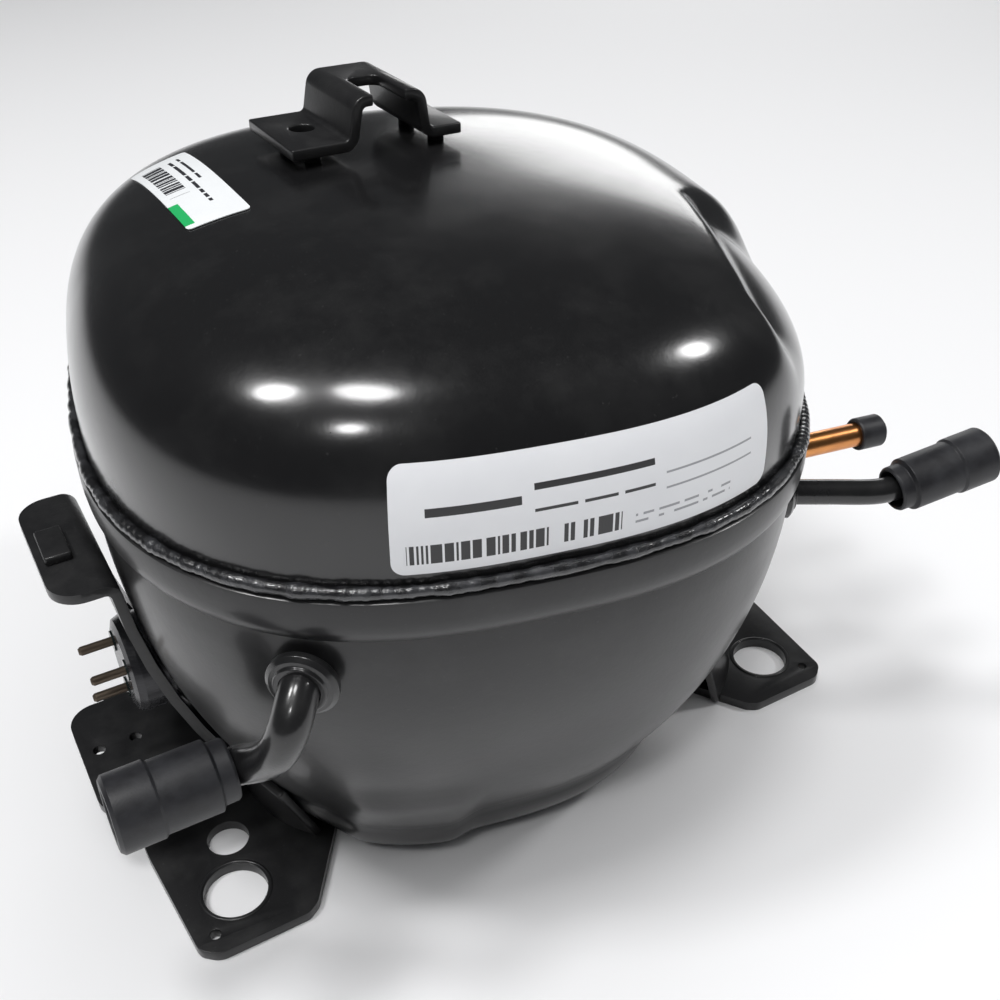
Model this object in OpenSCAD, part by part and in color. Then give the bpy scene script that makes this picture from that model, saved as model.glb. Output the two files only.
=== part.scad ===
// Hermetic reciprocating compressor.
// A welded two-part steel shell on two feet, with the spring-hung motor and
// piston pump inside. X runs along the feet, Z is up, and the origin is the
// centre of the four mounting holes on the underside of the feet.

/* [Mounting feet] */
// Spacing of the mounting holes along X
mount_x = 170; // [166:1:178]
// Spacing of the mounting holes along Y
mount_y = 70; // [66:1:84]
// Diameter of the grommet holes
mount_hole_d = 16; // [12:0.5:18]
// Diameter of the second hole in each corner
extra_hole_d = 10.8; // [6:0.2:12]
// Diameter of the locating hole at each tip
tip_hole_d = 2.8; // [2:0.2:4]
// Thickness of the foot plates
foot_t = 3; // [2:0.5:4]

/* [Shell] */
// Outside width of the upper shell, across its short side
shell_w = 165.4; // [160:0.2:200]
// Outside length of the upper shell
shell_l = 183.2; // [176:0.2:222]
// Squareness of the plan: 2 is an ellipse, higher is squarer
shell_n = 2.56; // [2.2:0.02:3]
// Turn of the shell on its feet
shell_turn = -12; // [-20:1:0]
// Offset of the shell centre along X
shell_x = -6; // [-8:1:0]
// Offset of the shell centre along Y
shell_y = 6; // [0:1:8]
// Sheet thickness of the shell
shell_t = 3; // [2:0.2:3.6]
// Height of the top of the lower shell's lip
seam_z = 113.5; // [110:0.5:136]
// Height of the dome above the seam
dome_h = 44; // [40:1:53]

/* [Tubes] */
// Diameter of the suction and discharge stubs
pipe_d = 6.4; // [5:0.2:8]
// Diameter of the process stub
process_d = 8.2; // [6.6:0.2:10]
// Width of a weld collar beyond its pipe, on the radius
collar_rim = 3.4; // [2.8:0.1:4.4]
// Thickness of rubber round a pipe, in the long caps
cap_wall = 3.5; // [3:0.1:4.4]

/* [Terminal] */
// Outer diameter of the terminal cup
cup_d = 24.8; // [22:0.2:30]
// Diameter of the circle through the three pins
pin_circle_d = 14; // [11:0.5:14.5]
// Diameter of a terminal pin
pin_d = 2.3; // [1.6:0.1:2.6]
// Thickness of the terminal bracket's sheet
fence_t = 2.4; // [1.6:0.2:3]
// Width of the terminal bracket along Y
fence_w = 41; // [34:1:46]

/* [Top bracket] */
// Width of the hat-shaped strip along Y
hat_w = 28; // [20:1:32]
// Thickness of the strip
hat_t = 2.6; // [2:0.2:3.2]
// Rise of the strip above its pads
hat_h = 9.5; // [8:0.5:16]

/* [Motor] */
// Height of the stator stack
stack_h = 34; // [30:1:36]
// Width across the flats of the stator
stator_w = 104; // [100:1:108]
// Outer diameter of the rotor
rotor_d = 58; // [50:1:60]
// Air gap between rotor and stator, on the radius
air_gap = 0.4; // [0.3:0.1:0.8]

/* [Pump] */
// Cylinder bore
bore_d = 21; // [19:0.5:23]
// Piston stroke
stroke = 16.4; // [14:0.2:17]
// Distance from crankpin centre to ball centre
rod_l = 44; // [42:0.5:46]
// Diameter of the crankshaft journal
shaft_d = 16; // [14:0.5:18]
// Diameter of the crankpin
crankpin_d = 14; // [13:0.5:15]
// Diameter of the piston ball
ball_d = 13; // [12:0.5:13.5]
// Running clearance of the shafts, on the radius
run_gap = 0.05; // [0.02:0.01:0.1]
// Clearance of the open big end on the crankpin, on the radius
open_gap = 0.45; // [0.44:0.01:0.6]

/* [Suspension] */
// Mean diameter of a suspension spring
spring_d = 12; // [10:0.5:13]
// Wire diameter of a suspension spring
spring_wire = 1.6; // [1.2:0.1:2]

/* [Hidden] */

$fn = 64;
fit = 0.15;             // face clearance between parts that are only laid together
sides = 64;             // points around a shell section

// ---- shell outline -------------------------------------------------------
a_up = shell_w / 2;
b_up = shell_l / 2;
lip_out = 2.4;          // lip stands this far outside the upper shell
lip_z = seam_z - 8;     // ledge that the upper shell's rim sits on
groove_z = seam_z - 11; // drawn line below the lip
dome_z = seam_z + 3.4;  // where the dome's curve starts
dome_p = 3.18;          // fullness of the dome's profile
bowl_z = 19;            // where the bowl's wall meets its bottom radius
bowl_r = 13;
bowl_in_a = 22.2;       // how far the wall draws in at the bottom, short side
bowl_in_b = 27.6;       // and long side
shell_base = foot_t;    // the shell's floor rests on the feet
shell_top = dome_z + dome_h;

function sgn(v) = v < 0 ? -1 : 1;
function bend(v, e) = sgn(v) * pow(abs(v), e);
function plan_point(a, b, t) =
    [a * bend(cos(t), 2 / shell_n), b * bend(sin(t), 2 / shell_n)];
// half widths of the bowl's wall at height z
function bowl_step(z) = pow(max(0, groove_z - z) / (groove_z - bowl_z), 2);
function wall_a(z) = a_up + 0.6 - bowl_in_a * bowl_step(z);
function wall_b(z) = b_up + 0.6 - bowl_in_b * bowl_step(z);
// shell height over a point of the dome, in the shell's own axes
function dome_height(x, y) =
    let (q = pow(abs(x) / a_up, shell_n) + pow(abs(y) / b_up, shell_n))
    dome_z + dome_h * pow(max(0, 1 - pow(q, dome_p / shell_n)), 1 / dome_p);
// shell axes to world axes and back
function to_world(p) = [shell_x + p.x * cos(shell_turn) - p.y * sin(shell_turn),
    shell_y + p.x * sin(shell_turn) + p.y * cos(shell_turn), p.z];
function to_shell(p) = [(p.x - shell_x) * cos(shell_turn) + (p.y - shell_y) * sin(shell_turn),
    -(p.x - shell_x) * sin(shell_turn) + (p.y - shell_y) * cos(shell_turn), p.z];

// pressed features: a hollow in the dome's shoulder and a boss low on the front
hollow_at = [a_up * 0.80, -b_up * 0.46, shell_top - 12];
hollow_r = 27;
hollow_deep = 5;
boss_at = [-27, -wall_b(30), 30];
boss_r = 26;
boss_out = 4;
function swell(d, r) = d >= r ? 0 : pow(1 - pow(d / r, 2), 2);
function unit(v) = v / norm(v);
function pressed(p) = p
    - unit([hollow_at.x, hollow_at.y, 40]) * hollow_deep * swell(norm(p - hollow_at), hollow_r)
    + [0, -1, 0] * boss_out * swell(norm(p - boss_at), boss_r);

module in_shell() { translate([shell_x, shell_y, 0]) rotate(shell_turn) children(); }

// a ring of the shell: [half width, half length, height]
function ring_points(r) = [for (i = [0:sides - 1])
    pressed(concat(plan_point(r[0], r[1], 360 * i / sides), [r[2]]))];

// faces between successive rings of n points, the first ring starting at index o
function strip_faces(n, rows, o, flip) = [for (j = [0:rows - 2]) for (i = [0:n - 1])
    let (a = o + j * n + i, b = o + j * n + (i + 1) % n, c = a + n, d = b + n)
    each (flip ? [[a, b, c], [b, d, c]] : [[a, c, b], [b, c, d]])];

// a closed bowl of sheet: outer rings from the rim to the pole, then inner ones
module sheet_bowl(outer, inner, pole_out, pole_in, flip) {
    no = len(outer);
    ni = len(inner);
    points = concat([for (r = outer) each ring_points(r)], [for (r = inner) each ring_points(r)],
        [[0, 0, pole_out], [0, 0, pole_in]]);
    o2 = no * sides;
    po = (no + ni) * sides;
    fan_out = [for (i = [0:sides - 1]) let (a = (no - 1) * sides + i,
        b = (no - 1) * sides + (i + 1) % sides) flip ? [a, b, po] : [a, po, b]];
    fan_in = [for (i = [0:sides - 1]) let (a = o2 + (ni - 1) * sides + i,
        b = o2 + (ni - 1) * sides + (i + 1) % sides) flip ? [a, po + 1, b] : [a, b, po + 1]];
    rim = [for (i = [0:sides - 1]) let (a = i, b = (i + 1) % sides, c = o2 + i, d = o2 + b)
        each (flip ? [[a, c, b], [b, c, d]] : [[a, b, c], [b, d, c]])];
    polyhedron(points, concat(strip_faces(sides, no, 0, flip), fan_out,
        strip_faces(sides, ni, o2, !flip), fan_in, rim));
}

// a thin curved plate between two grids of points
module plate_grid(top, bottom) {
    rows = len(top);
    cols = len(top[0]);
    n = rows * cols;
    points = concat([for (r = top) each r], [for (r = bottom) each r]);
    faces = concat(
        [for (j = [0:rows - 2]) for (i = [0:cols - 2]) let (a = j * cols + i, b = a + 1,
            c = a + cols, d = c + 1) each [[a, c, b], [b, c, d], [n + a, n + b, n + c],
            [n + b, n + d, n + c]]],
        [for (i = [0:cols - 2]) let (a = i, b = i + 1, c = n + i, d = n + i + 1)
            each [[a, b, c], [b, d, c]]],
        [for (i = [0:cols - 2]) let (a = (rows - 1) * cols + i, b = a + 1, c = n + a, d = n + b)
            each [[a, c, b], [b, c, d]]],
        [for (j = [0:rows - 2]) let (a = j * cols, b = a + cols, c = n + a, d = n + b)
            each [[a, c, b], [b, c, d]]],
        [for (j = [0:rows - 2]) let (a = j * cols + cols - 1, b = a + cols, c = n + a, d = n + b)
            each [[a, b, c], [b, d, c]]]);
    polyhedron(points, faces);
}

// ---- tube swept along a list of points -----------------------------------
function mix(a, b, k) = a + (b - a) * k;
// smooth points through a hand-chosen route
function curve_point(a, b, c, d, k) = 0.5 * (2 * b + (c - a) * k + (2 * a - 5 * b + 4 * c - d)
    * k * k + (3 * b - 3 * c + d - a) * k * k * k);
function smooth(route, steps) = [for (i = [0:len(route) - 2]) for (s = [0:steps - 1])
    curve_point(route[max(0, i - 1)], route[i], route[i + 1],
        route[min(len(route) - 1, i + 2)], s / steps), route[len(route) - 1]];
function heading(p, i) = unit(p[min(len(p) - 1, i + 1)] - p[max(0, i - 1)]);
function square_to(v, h) = unit(v - h * (v * h));
// side vectors carried along the path without twist
function carried(p, i, v) = i == len(p) - 1 ? [square_to(v, heading(p, i))]
    : concat([square_to(v, heading(p, i))], carried(p, i + 1, square_to(v, heading(p, i))));
module sweep(path, r, n) {
    side = carried(path, 0, abs(heading(path, 0).z) > 0.9 ? [1, 0, 0] : [0, 0, 1]);
    m = len(path);
    points = [for (i = [0:m - 1]) let (h = heading(path, i), u = side[i], w = cross(h, u))
        for (k = [0:n - 1]) path[i] + r * (u * cos(360 * k / n) + w * sin(360 * k / n))];
    polyhedron(points, concat([[for (k = [0:n - 1]) k]],
        [[for (k = [n - 1:-1:0]) (m - 1) * n + k]], strip_faces(n, m, 0, false)));
}
// a solid or bored round bar from one point towards a direction
module aim(at, dir) {
    translate(at) rotate([0, acos(dir.z / norm(dir)), atan2(dir.y, dir.x)]) children();
}

// ---- heights of the motor and pump ---------------------------------------
pump_turn = shell_turn + 90;  // the bore points along the shell's long side
pump_back = 4;                // crank axis set back from the shell's centre
stack_z = 40;
stack_top = stack_z + stack_h;
wind_h = 14;                  // height of the end windings
plate_z = stack_top + wind_h + 4;
plate_t = 10;
hub_top = plate_z + plate_t + 2;
washer_t = 1.2;
web_z = hub_top + washer_t;   // underside of the crank web
web_t = 7;
rod_t = 10;
bore_z = web_z + web_t + 0.8 + rod_t / 2;
crank_r = stroke / 2;
swing = asin(crank_r / rod_l);
ball_x = rod_l - rod_l * (1 - cos(swing)) / 2;
piston_l = 24;
crown = 12;                   // ball centre to piston crown
dead_gap = 0.5;               // piston to valve plate at top dead centre
face_x = ball_x + crank_r + crown + dead_gap;
gasket_t = 0.5;
reed_t = 0.3;
valve_t = 3;
head_t = 12;
post_at = stator_w / 2 - 15;    // stator bolts, with a spring under each head
post_r = 6.5;
floor_in = shell_base + shell_t;
carrier_z = floor_in + 6.5;   // underside of the spring carrier
carrier_t = 2.5;
seat_t = 2;
spring_low = carrier_z + carrier_t;
spring_high = stack_z - seat_t;

module in_pump() {
    in_shell() translate([0, -pump_back, 0]) rotate(90) children();
}
module at_posts() { for (x = [-1, 1], y = [-1, 1]) translate([x * post_at, y * post_at, 0]) children(); }

// ---- pipe and terminal places, in the shell's axes -----------------------
pipe_z = seam_z - 27.5;
suction_at = [wall_a(pipe_z) * 0.927, -wall_b(pipe_z) * 0.508, pipe_z];
discharge_at = [wall_a(pipe_z) * 0.975, -wall_b(pipe_z) * 0.32, pipe_z - 1];
process_at = [-wall_a(seam_z - 20) * 0.565, -wall_b(seam_z - 20) * 0.905, seam_z - 20];
suction_dir = [cos(-18.5), sin(-18.5), 0];
discharge_dir = [cos(3), sin(3), 0];
process_dir = [cos(-119), sin(-119), 0];
cup_z = 53.3;
cup_y = 2;

// ---- casing ----------------------------------------------------------------
function lip(a) = [a[0] + a_up, a[0] + b_up, a[1]];
lower_outer = concat(
    [for (q = [[lip_out - 0.5, seam_z], [lip_out, seam_z - 0.6], [lip_out, seam_z - 5.5],
        [lip_out - 0.3, groove_z + 2.2], [0.7, groove_z + 0.7], [0.1, groove_z],
        [0.6, groove_z - 0.8]]) lip(q)],
    [for (k = [1:9]) let (z = mix(groove_z, bowl_z, k / 9)) [wall_a(z), wall_b(z), z]],
    [for (f = [18:18:72]) [wall_a(bowl_z) - bowl_r * (1 - cos(f)),
        wall_b(bowl_z) - bowl_r * (1 - cos(f)), bowl_z - (bowl_z - shell_base) * sin(f)]],
    [[wall_a(bowl_z) - bowl_r, wall_b(bowl_z) - bowl_r, shell_base]]);
lower_inner = concat(
    [lip([fit, seam_z]), lip([fit, lip_z]), lip([0.6 - shell_t, lip_z - 0.2])],
    [for (k = [1:9]) let (z = mix(groove_z, bowl_z, k / 9))
        [wall_a(z) - shell_t, wall_b(z) - shell_t, z]],
    [for (f = [18:18:72]) [wall_a(bowl_z) - shell_t - (bowl_r - shell_t) * (1 - cos(f)),
        wall_b(bowl_z) - shell_t - (bowl_r - shell_t) * (1 - cos(f)),
        bowl_z - (bowl_z - floor_in) * sin(f)]],
    [[wall_a(bowl_z) - bowl_r, wall_b(bowl_z) - bowl_r, floor_in]]);
function dome_ring(f, t) = let (k = pow(cos(f), 2 / dome_p))
    [(a_up - t) * k, (b_up - t) * k, dome_z + (dome_h - t) * pow(sin(f), 2 / dome_p)];
function upper_rings(t) = concat([[a_up - t, b_up - t, lip_z + 0.4], [a_up - t, b_up - t, seam_z]],
    [for (f = [0:9:81]) dome_ring(f, t)], [dome_ring(86, t)]);

module terminal_hole(d) { translate([-120, cup_y, cup_z]) rotate([0, 90, 0]) cylinder(d = d, h = 60); }

module pipe_hole(at, dir, d) { aim(at - 12 * dir, dir) cylinder(d = d + 2 + 2 * fit, h = 24); }

module lower_shell() {
    color("#23252a") difference() {
        in_shell() sheet_bowl(lower_outer, lower_inner, shell_base, floor_in, true);
        terminal_hole(cup_d + 3.2 + 2 * fit);
        in_shell() {
            pipe_hole(suction_at, suction_dir, pipe_d);
            pipe_hole(discharge_at, discharge_dir, pipe_d);
            pipe_hole(process_at, process_dir, process_d);
        }
    }
}

module upper_shell() {
    color("#23252a") in_shell()
        sheet_bowl(upper_rings(0), upper_rings(shell_t), shell_top, shell_top - shell_t, false);
}

// fillet of weld metal laid in the corner between the lip and the upper shell
module weld_bead() {
    bead = [[fit, 0.05], [2.0, 0.05], [2.3, 0.8], [1.7, 2.0], [0.7, 2.8], [fit, 3.0]];
    n = 96;
    m = len(bead);
    points = [for (i = [0:n - 1]) for (q = bead)
        concat(plan_point(a_up + q[0], b_up + q[0], 360 * i / n), [seam_z + q[1]])];
    faces = [for (i = [0:n - 1]) for (j = [0:m - 1]) let (a = i * m + j, b = i * m + (j + 1) % m,
        c = ((i + 1) % n) * m + j, d = ((i + 1) % n) * m + (j + 1) % m)
        each [[a, b, c], [b, d, c]]];
    color("#2c2e33") in_shell() polyhedron(points, faces);
}

// ---- feet ------------------------------------------------------------------
foot_out = mount_x / 2 + 16;
foot_half = mount_y / 2 + 15.5;
foot_in = 54;
extra_x = mount_x / 2 - 3.7;      // second hole of each corner, on the terminal side only
extra_y = mount_y / 2 - 16.4;
function foot_outline(s) = let (half = [[foot_out, 0], [foot_out, 14], [foot_out - 2.5, foot_half - 3.5],
    [foot_out - 4, foot_half - 1.4], [foot_out - 6.5, foot_half], [mount_x / 2 - 13.5, foot_half],
    [mount_x / 2 - 16, foot_half - 1.6], [foot_in, 27], [foot_in - 6, 16]])
    concat([for (p = half) [s * p.x, p.y]], [for (i = [len(half) - 1:-1:1]) [s * half[i].x, -half[i].y]]);
// the skirt bends up from a line on the plate and lies against the shell's wall
function skirt_wall(s, k, z, t) = to_world(concat(plan_point(wall_a(z) + t, wall_b(z) + t,
    (s < 0 ? 180 : 0) - shell_turn + k), [z]));
skirt_t = 2.4;
skirt_gap = 1.4;        // a skirt stays this far off the shell's wall
module skirt(s, base, top_z, spread) {
    n = len(base) - 1;
    lean = [s * skirt_t, 0, 0];
    plate_grid([[for (i = [0:n]) [base[i].x, base[i].y, 0.2] + lean],
        [for (i = [0:n]) skirt_wall(s, spread * (2 * i / n - 1), top_z, skirt_gap + skirt_t)]],
        [[for (i = [0:n]) [base[i].x, base[i].y, 0.2]],
        [for (i = [0:n]) skirt_wall(s, spread * (2 * i / n - 1), top_z, skirt_gap)]]);
}
module foot(s, base, top_z, spread) {
    difference() {
        union() {
            linear_extrude(foot_t) polygon(foot_outline(s));
            skirt(s, base, top_z, spread);
        }
        for (y = [-1, 1]) {
            translate([s * mount_x / 2, y * mount_y / 2, -1]) cylinder(d = mount_hole_d, h = foot_t + 20);
            if (s < 0) translate([-extra_x, y * extra_y, -1]) cylinder(d = extra_hole_d, h = foot_t + 2);
            translate([s * (mount_x / 2 + 8.6), y * (mount_y / 2 + 9.8), -1])
                cylinder(d = tip_hole_d, h = foot_t + 2);
        }
    }
}
left_base = [[-59, 29], [-65, 21], [-68.5, 11], [-69.5, 0], [-68.5, -11], [-65, -21], [-59, -29]];
right_base = [[62, -42], [72, -35], [78, -26], [80, 0], [78, 26], [72, 35], [62, 42]];
module foot_left() { color("#1f2125") foot(-1, left_base, 22, 26); }
module foot_right() { color("#1f2125") foot(1, right_base, 34, 34); }

// ---- top bracket -----------------------------------------------------------
hat_z = shell_top + 2;
hat_x0 = -30;
hat_leg1 = -15;
hat_leg2 = 2;
hat_x1 = 13;
hat_y = 32;
module top_bracket() {
    color("#17181b") difference() {
        union() {
            translate([0, hat_y + hat_w / 2, 0]) rotate([90, 0, 0]) linear_extrude(hat_w)
                difference() {
                    polygon([[hat_x0, hat_z], [hat_leg1 + hat_t, hat_z],
                        [hat_leg1 + hat_t, hat_z + hat_h - 1.5], [hat_leg1 + hat_t + 1.5, hat_z + hat_h],
                        [hat_leg2 - hat_t - 1.5, hat_z + hat_h], [hat_leg2 - hat_t, hat_z + hat_h - 1.5],
                        [hat_leg2 - hat_t, hat_z], [hat_x1, hat_z], [hat_x1, hat_z + hat_t],
                        [hat_leg2, hat_z + hat_t], [hat_leg2, hat_z + hat_h - 1],
                        [hat_leg2 - 3, hat_z + hat_h + hat_t], [hat_leg1 + 3, hat_z + hat_h + hat_t],
                        [hat_leg1, hat_z + hat_h - 1], [hat_leg1, hat_z + hat_t],
                        [hat_x0, hat_z + hat_t]]);
                }
            for (p = [[hat_x0 + 6, hat_y + 9], [hat_x1 - 5, hat_y - 8], [hat_x1 - 5, hat_y + 8],
                [hat_x0 + 6, hat_y - 8]]) let (s = to_shell([p.x, p.y, 0]))
                translate([p.x, p.y, dome_height(s.x, s.y) - 0.1])
                    cylinder(d = 4, h = hat_z - dome_height(s.x, s.y) + 0.6);
        }
        translate([hat_x0 + 7.5, hat_y + 1, hat_z - 3]) cylinder(d = 6, h = hat_t + 6);
        // slot open to the front, through the crown and the upper part of the legs
        translate([hat_leg1 + 4.5, hat_y - hat_w / 2 - 1, hat_z + 6]) cube([8, hat_w * 0.62, 30]);
    }
}

// ---- terminal --------------------------------------------------------------
function wall_min_x(z) = min([for (i = [0:5:355]) let (q = plan_point(wall_a(z), wall_b(z), i))
    to_world([q.x, q.y, z]).x]);
ear_z = seam_z - 24;
shelf_z = 25;
ear_reach = 15.2;             // how far each stands out from the wall beside it
shelf_reach = 36.6;
cup_reach = 10;
ear_out = wall_min_x(ear_z) - ear_reach;
shelf_out = wall_min_x(shelf_z) - shelf_reach;
cup_out = wall_min_x(cup_z) - cup_reach;
fence_y = 3.5;
module terminal_bracket() {
    web = [for (z = [ear_z, 70, 55, 40, shelf_z]) [wall_min_x(z) - 1.2, z]];
    n = len(web);
    profile = concat([[ear_out, ear_z + fence_t], [web[0].x, ear_z + fence_t]], web,
        [[web[n - 1].x, shelf_z - fence_t], [shelf_out, shelf_z - fence_t], [shelf_out, shelf_z]],
        [[web[n - 1].x - fence_t, shelf_z]],
        [for (i = [n - 2:-1:1]) [web[i].x - fence_t, web[i].y]], [[web[0].x - fence_t, ear_z]],
        [[ear_out, ear_z]]);
    color("#1a1b1e") difference() {
        union() {
            translate([0, fence_y + fence_w / 2, 0]) rotate([90, 0, 0]) linear_extrude(fence_w)
                polygon(profile);
            translate([ear_out + 1.5, fence_y - 7, ear_z + fence_t - 0.1]) cube([6, 12, 2.2]);
        }
        terminal_hole(cup_d + 7);
        for (y = [-1, 1]) {
            translate([ear_out, fence_y + y * fence_w / 2, ear_z + 1]) rotate(45)
                cube([9, 9, 12], center = true);
            translate([shelf_out, fence_y + y * fence_w / 2, shelf_z - 1]) rotate(45)
                cube([8, 8, 12], center = true);
        }
        for (x = [4.6, 14]) translate([shelf_out + x, fence_y + 3, shelf_z - 10])
            cylinder(d = 3.2, h = 20);
        translate([ear_out + 3.5, fence_y - 9, ear_z - 1]) cube([2, 16, fence_t + 1.8]);
    }
}

module terminal_cup() {
    color("#55575b") difference() {
        translate([0, cup_y, cup_z]) rotate([0, -90, 0]) rotate_extrude() polygon([
            [0, -cup_out - 1.6], [0, -cup_out], [cup_d / 2 - 2.5, -cup_out],
            [cup_d / 2 - 0.7, -cup_out - 0.7], [cup_d / 2, -cup_out - 2.5], [cup_d / 2, -cup_out - 8.5],
            [cup_d / 2 + 1.6, -cup_out - 9.2], [cup_d / 2 + 1.6, -cup_out - 10.4],
            [cup_d / 2 - 1.6, -cup_out - 10.4], [cup_d / 2 - 1.6, -cup_out - 3.2],
            [cup_d / 2 - 3.2, -cup_out - 1.6]]);
        at_pins() cylinder(d = pin_d + 3, h = 60);
    }
}
module at_pins() {
    translate([pin_out, cup_y, cup_z]) rotate([0, 90, 0]) for (a = [0, 120, 240]) rotate(a)
        translate([pin_circle_d / 2, 0, 0]) children();
}
pin_long = 8.5;         // length of a pin outside the cup's face
glass_up = 0.4;         // the glass stands this far out of the face
pin_neck_d = pin_d - 0.5;
pin_out = cup_out - pin_long;
module glass_seals() {
    color("#3f6b63") at_pins() translate([0, 0, pin_long - glass_up]) difference() {
        cylinder(d = pin_d + 3, h = 2.6);
        translate([0, 0, -1]) cylinder(d = pin_neck_d, h = 6);
    }
}
// each pin is full size outside the glass and necked where it passes through
module terminal_pins() {
    color("#8a8478") at_pins() {
        cylinder(d1 = pin_d - 0.8, d2 = pin_d, h = 0.6);
        translate([0, 0, 0.6]) cylinder(d = pin_d, h = pin_long - glass_up - 0.6);
        translate([0, 0, pin_long - glass_up - 0.1]) cylinder(d = pin_neck_d, h = 14.2);
    }
}
// plastic plug on the inner ends of the pins
module cluster_block() {
    color("#d9d6c8") difference() {
        translate([cup_out + 7, cup_y, cup_z]) rotate([0, 90, 0]) cylinder(d = pin_circle_d + 4, h = 9);
        at_pins() cylinder(d = pin_neck_d, h = 60);
    }
}

// ---- pipe stubs ------------------------------------------------------------
collar_in = 3.5;        // depth of a collar's spigot in the wall
module collar(at, dir, d) {
    r = d / 2 + 0.2;
    rim = d / 2 + collar_rim;
    color("#1b1c1f") in_shell() aim(at - collar_in * dir, dir)
        rotate_extrude() polygon([[r, 0], [r + 0.8, 0], [r + 0.8, collar_in + 0.8], [rim, collar_in + 2.2],
            [rim, collar_in + 3], [rim - 1, collar_in + 3.8], [rim - 2, collar_in + 3.8],
            [rim - 2, collar_in + 4.6], [r, collar_in + 4.6]]);
}
module process_collar() { collar(process_at, process_dir, process_d); }
module suction_collar() { collar(suction_at, suction_dir, pipe_d); }
module discharge_collar() { collar(discharge_at, discharge_dir, pipe_d); }

// the pipes' routes, chosen by hand from each root
process_root = to_world(process_at);
suction_root = to_world(suction_at);
discharge_root = to_world(discharge_at);
function turned(v) = [v.x * cos(shell_turn) - v.y * sin(shell_turn),
    v.x * sin(shell_turn) + v.y * cos(shell_turn), v.z];
process_out = turned(process_dir);
suction_out = turned(suction_dir);
discharge_out = turned(discharge_dir);
process_tip = process_root + [-17.5, 5, -21.6];
process_end = process_tip - [9.5, 0, 0];
process_route = [process_root - 6 * process_out, process_root + 2 * process_out,
    process_root + 5 * process_out,
    process_root + [-6.6, -7.2, -3.4], process_root + [-8.8, -6.4, -9],
    process_root + [-10.4, -3, -14.4], process_root + [-12.4, 1.4, -18.9],
    process_root + [-14.7, 4.5, -21.2], process_tip, process_tip - [3, 0, 0], process_end];
// the tip of the suction stub is straight from its bend to its end
suction_bend = suction_root + 36 * suction_out + [0, 3.2, 1.2];
suction_tip_dir = unit(7 * suction_out + [0, 2.4, 1.2]);
suction_tip = suction_bend + 1.5 * suction_tip_dir;
suction_end = suction_bend + 6.25 * suction_tip_dir;
suction_route = [suction_root - 6 * suction_out, suction_root + 3 * suction_out,
    suction_root + 14 * suction_out, suction_root + 26 * suction_out + [0, 0.4, 0],
    suction_bend, suction_tip, suction_end];
discharge_route = [discharge_root - 6 * discharge_out, discharge_root + 37 * discharge_out];
discharge_end = discharge_route[1];
pipe_wall = 0.9;
mouth = 5;              // depth of the open bore at a pipe's end
module process_pipe() {
    color("#1b1c1f") difference() {
        sweep(smooth(process_route, 3), process_d / 2, 12);
        translate(process_end - [1, 0, 0]) rotate([0, 90, 0])
            cylinder(d = process_d - 2 * pipe_wall, h = mouth + 1);
    }
}
module suction_pipe() {
    color("#1b1c1f") difference() {
        sweep(smooth(suction_route, 3), pipe_d / 2, 12);
        aim(suction_end - mouth * suction_tip_dir, suction_tip_dir)
            cylinder(d = pipe_d - 2 * pipe_wall, h = mouth + 1);
    }
}
module discharge_pipe() {
    color("#c98a55") difference() {
        aim(discharge_route[0], discharge_out)
            cylinder(d = pipe_d, h = norm(discharge_end - discharge_route[0]));
        aim(discharge_route[0] - discharge_out, discharge_out)
            cylinder(d = pipe_d - 2 * pipe_wall, h = norm(discharge_end - discharge_route[0]) + 2);
    }
}
cap_bore = 12;          // length of pipe inside a long cap
cap_relief = 1.5;       // the mouth is opened by this much where the pipe still bends
relief_long = 7;
// rubber plug closed at one end: relieved mouth, bore, stepped body and a dished end
module long_cap(long, d) {
    r = d / 2 + run_gap;
    outer = d / 2 + cap_wall;
    rotate_extrude() polygon([[r + cap_relief, 0], [outer - 1.4, 0], [outer - 1, 0.6],
        [outer - 1, 3.4], [outer, 4], [outer, long * 0.62], [outer + 0.5, long * 0.62 + 0.6],
        [outer + 0.5, long - 0.8], [outer - 0.3, long], [outer - 2.4, long],
        [outer - 2.8, long - 1.4], [0, long - 1.4], [0, cap_bore + 0.5],
        [r, cap_bore + 0.5], [r, relief_long], [r + cap_relief, relief_long - 1]]);
}
module process_cap() {
    color("#202125") aim(process_end + [cap_bore - 1.5, 0, 0], [-1, 0, 0]) long_cap(24.5, process_d);
}
module suction_cap() {
    color("#202125") aim(suction_end - cap_bore * suction_tip_dir, suction_tip_dir) long_cap(27, pipe_d);
}
module discharge_cap() {
    color("#202125") aim(discharge_end - 6 * discharge_out, discharge_out) rotate_extrude() polygon([
        [pipe_d / 2 + run_gap, 0], [pipe_d / 2 + 0.9, 0], [pipe_d / 2 + 1.2, 0.5],
        [pipe_d / 2 + 1.2, 7], [pipe_d / 2 - 0.2, 8.2], [0, 8.2], [0, 6.3], [pipe_d / 2 + run_gap, 6.3]]);
}

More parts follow.
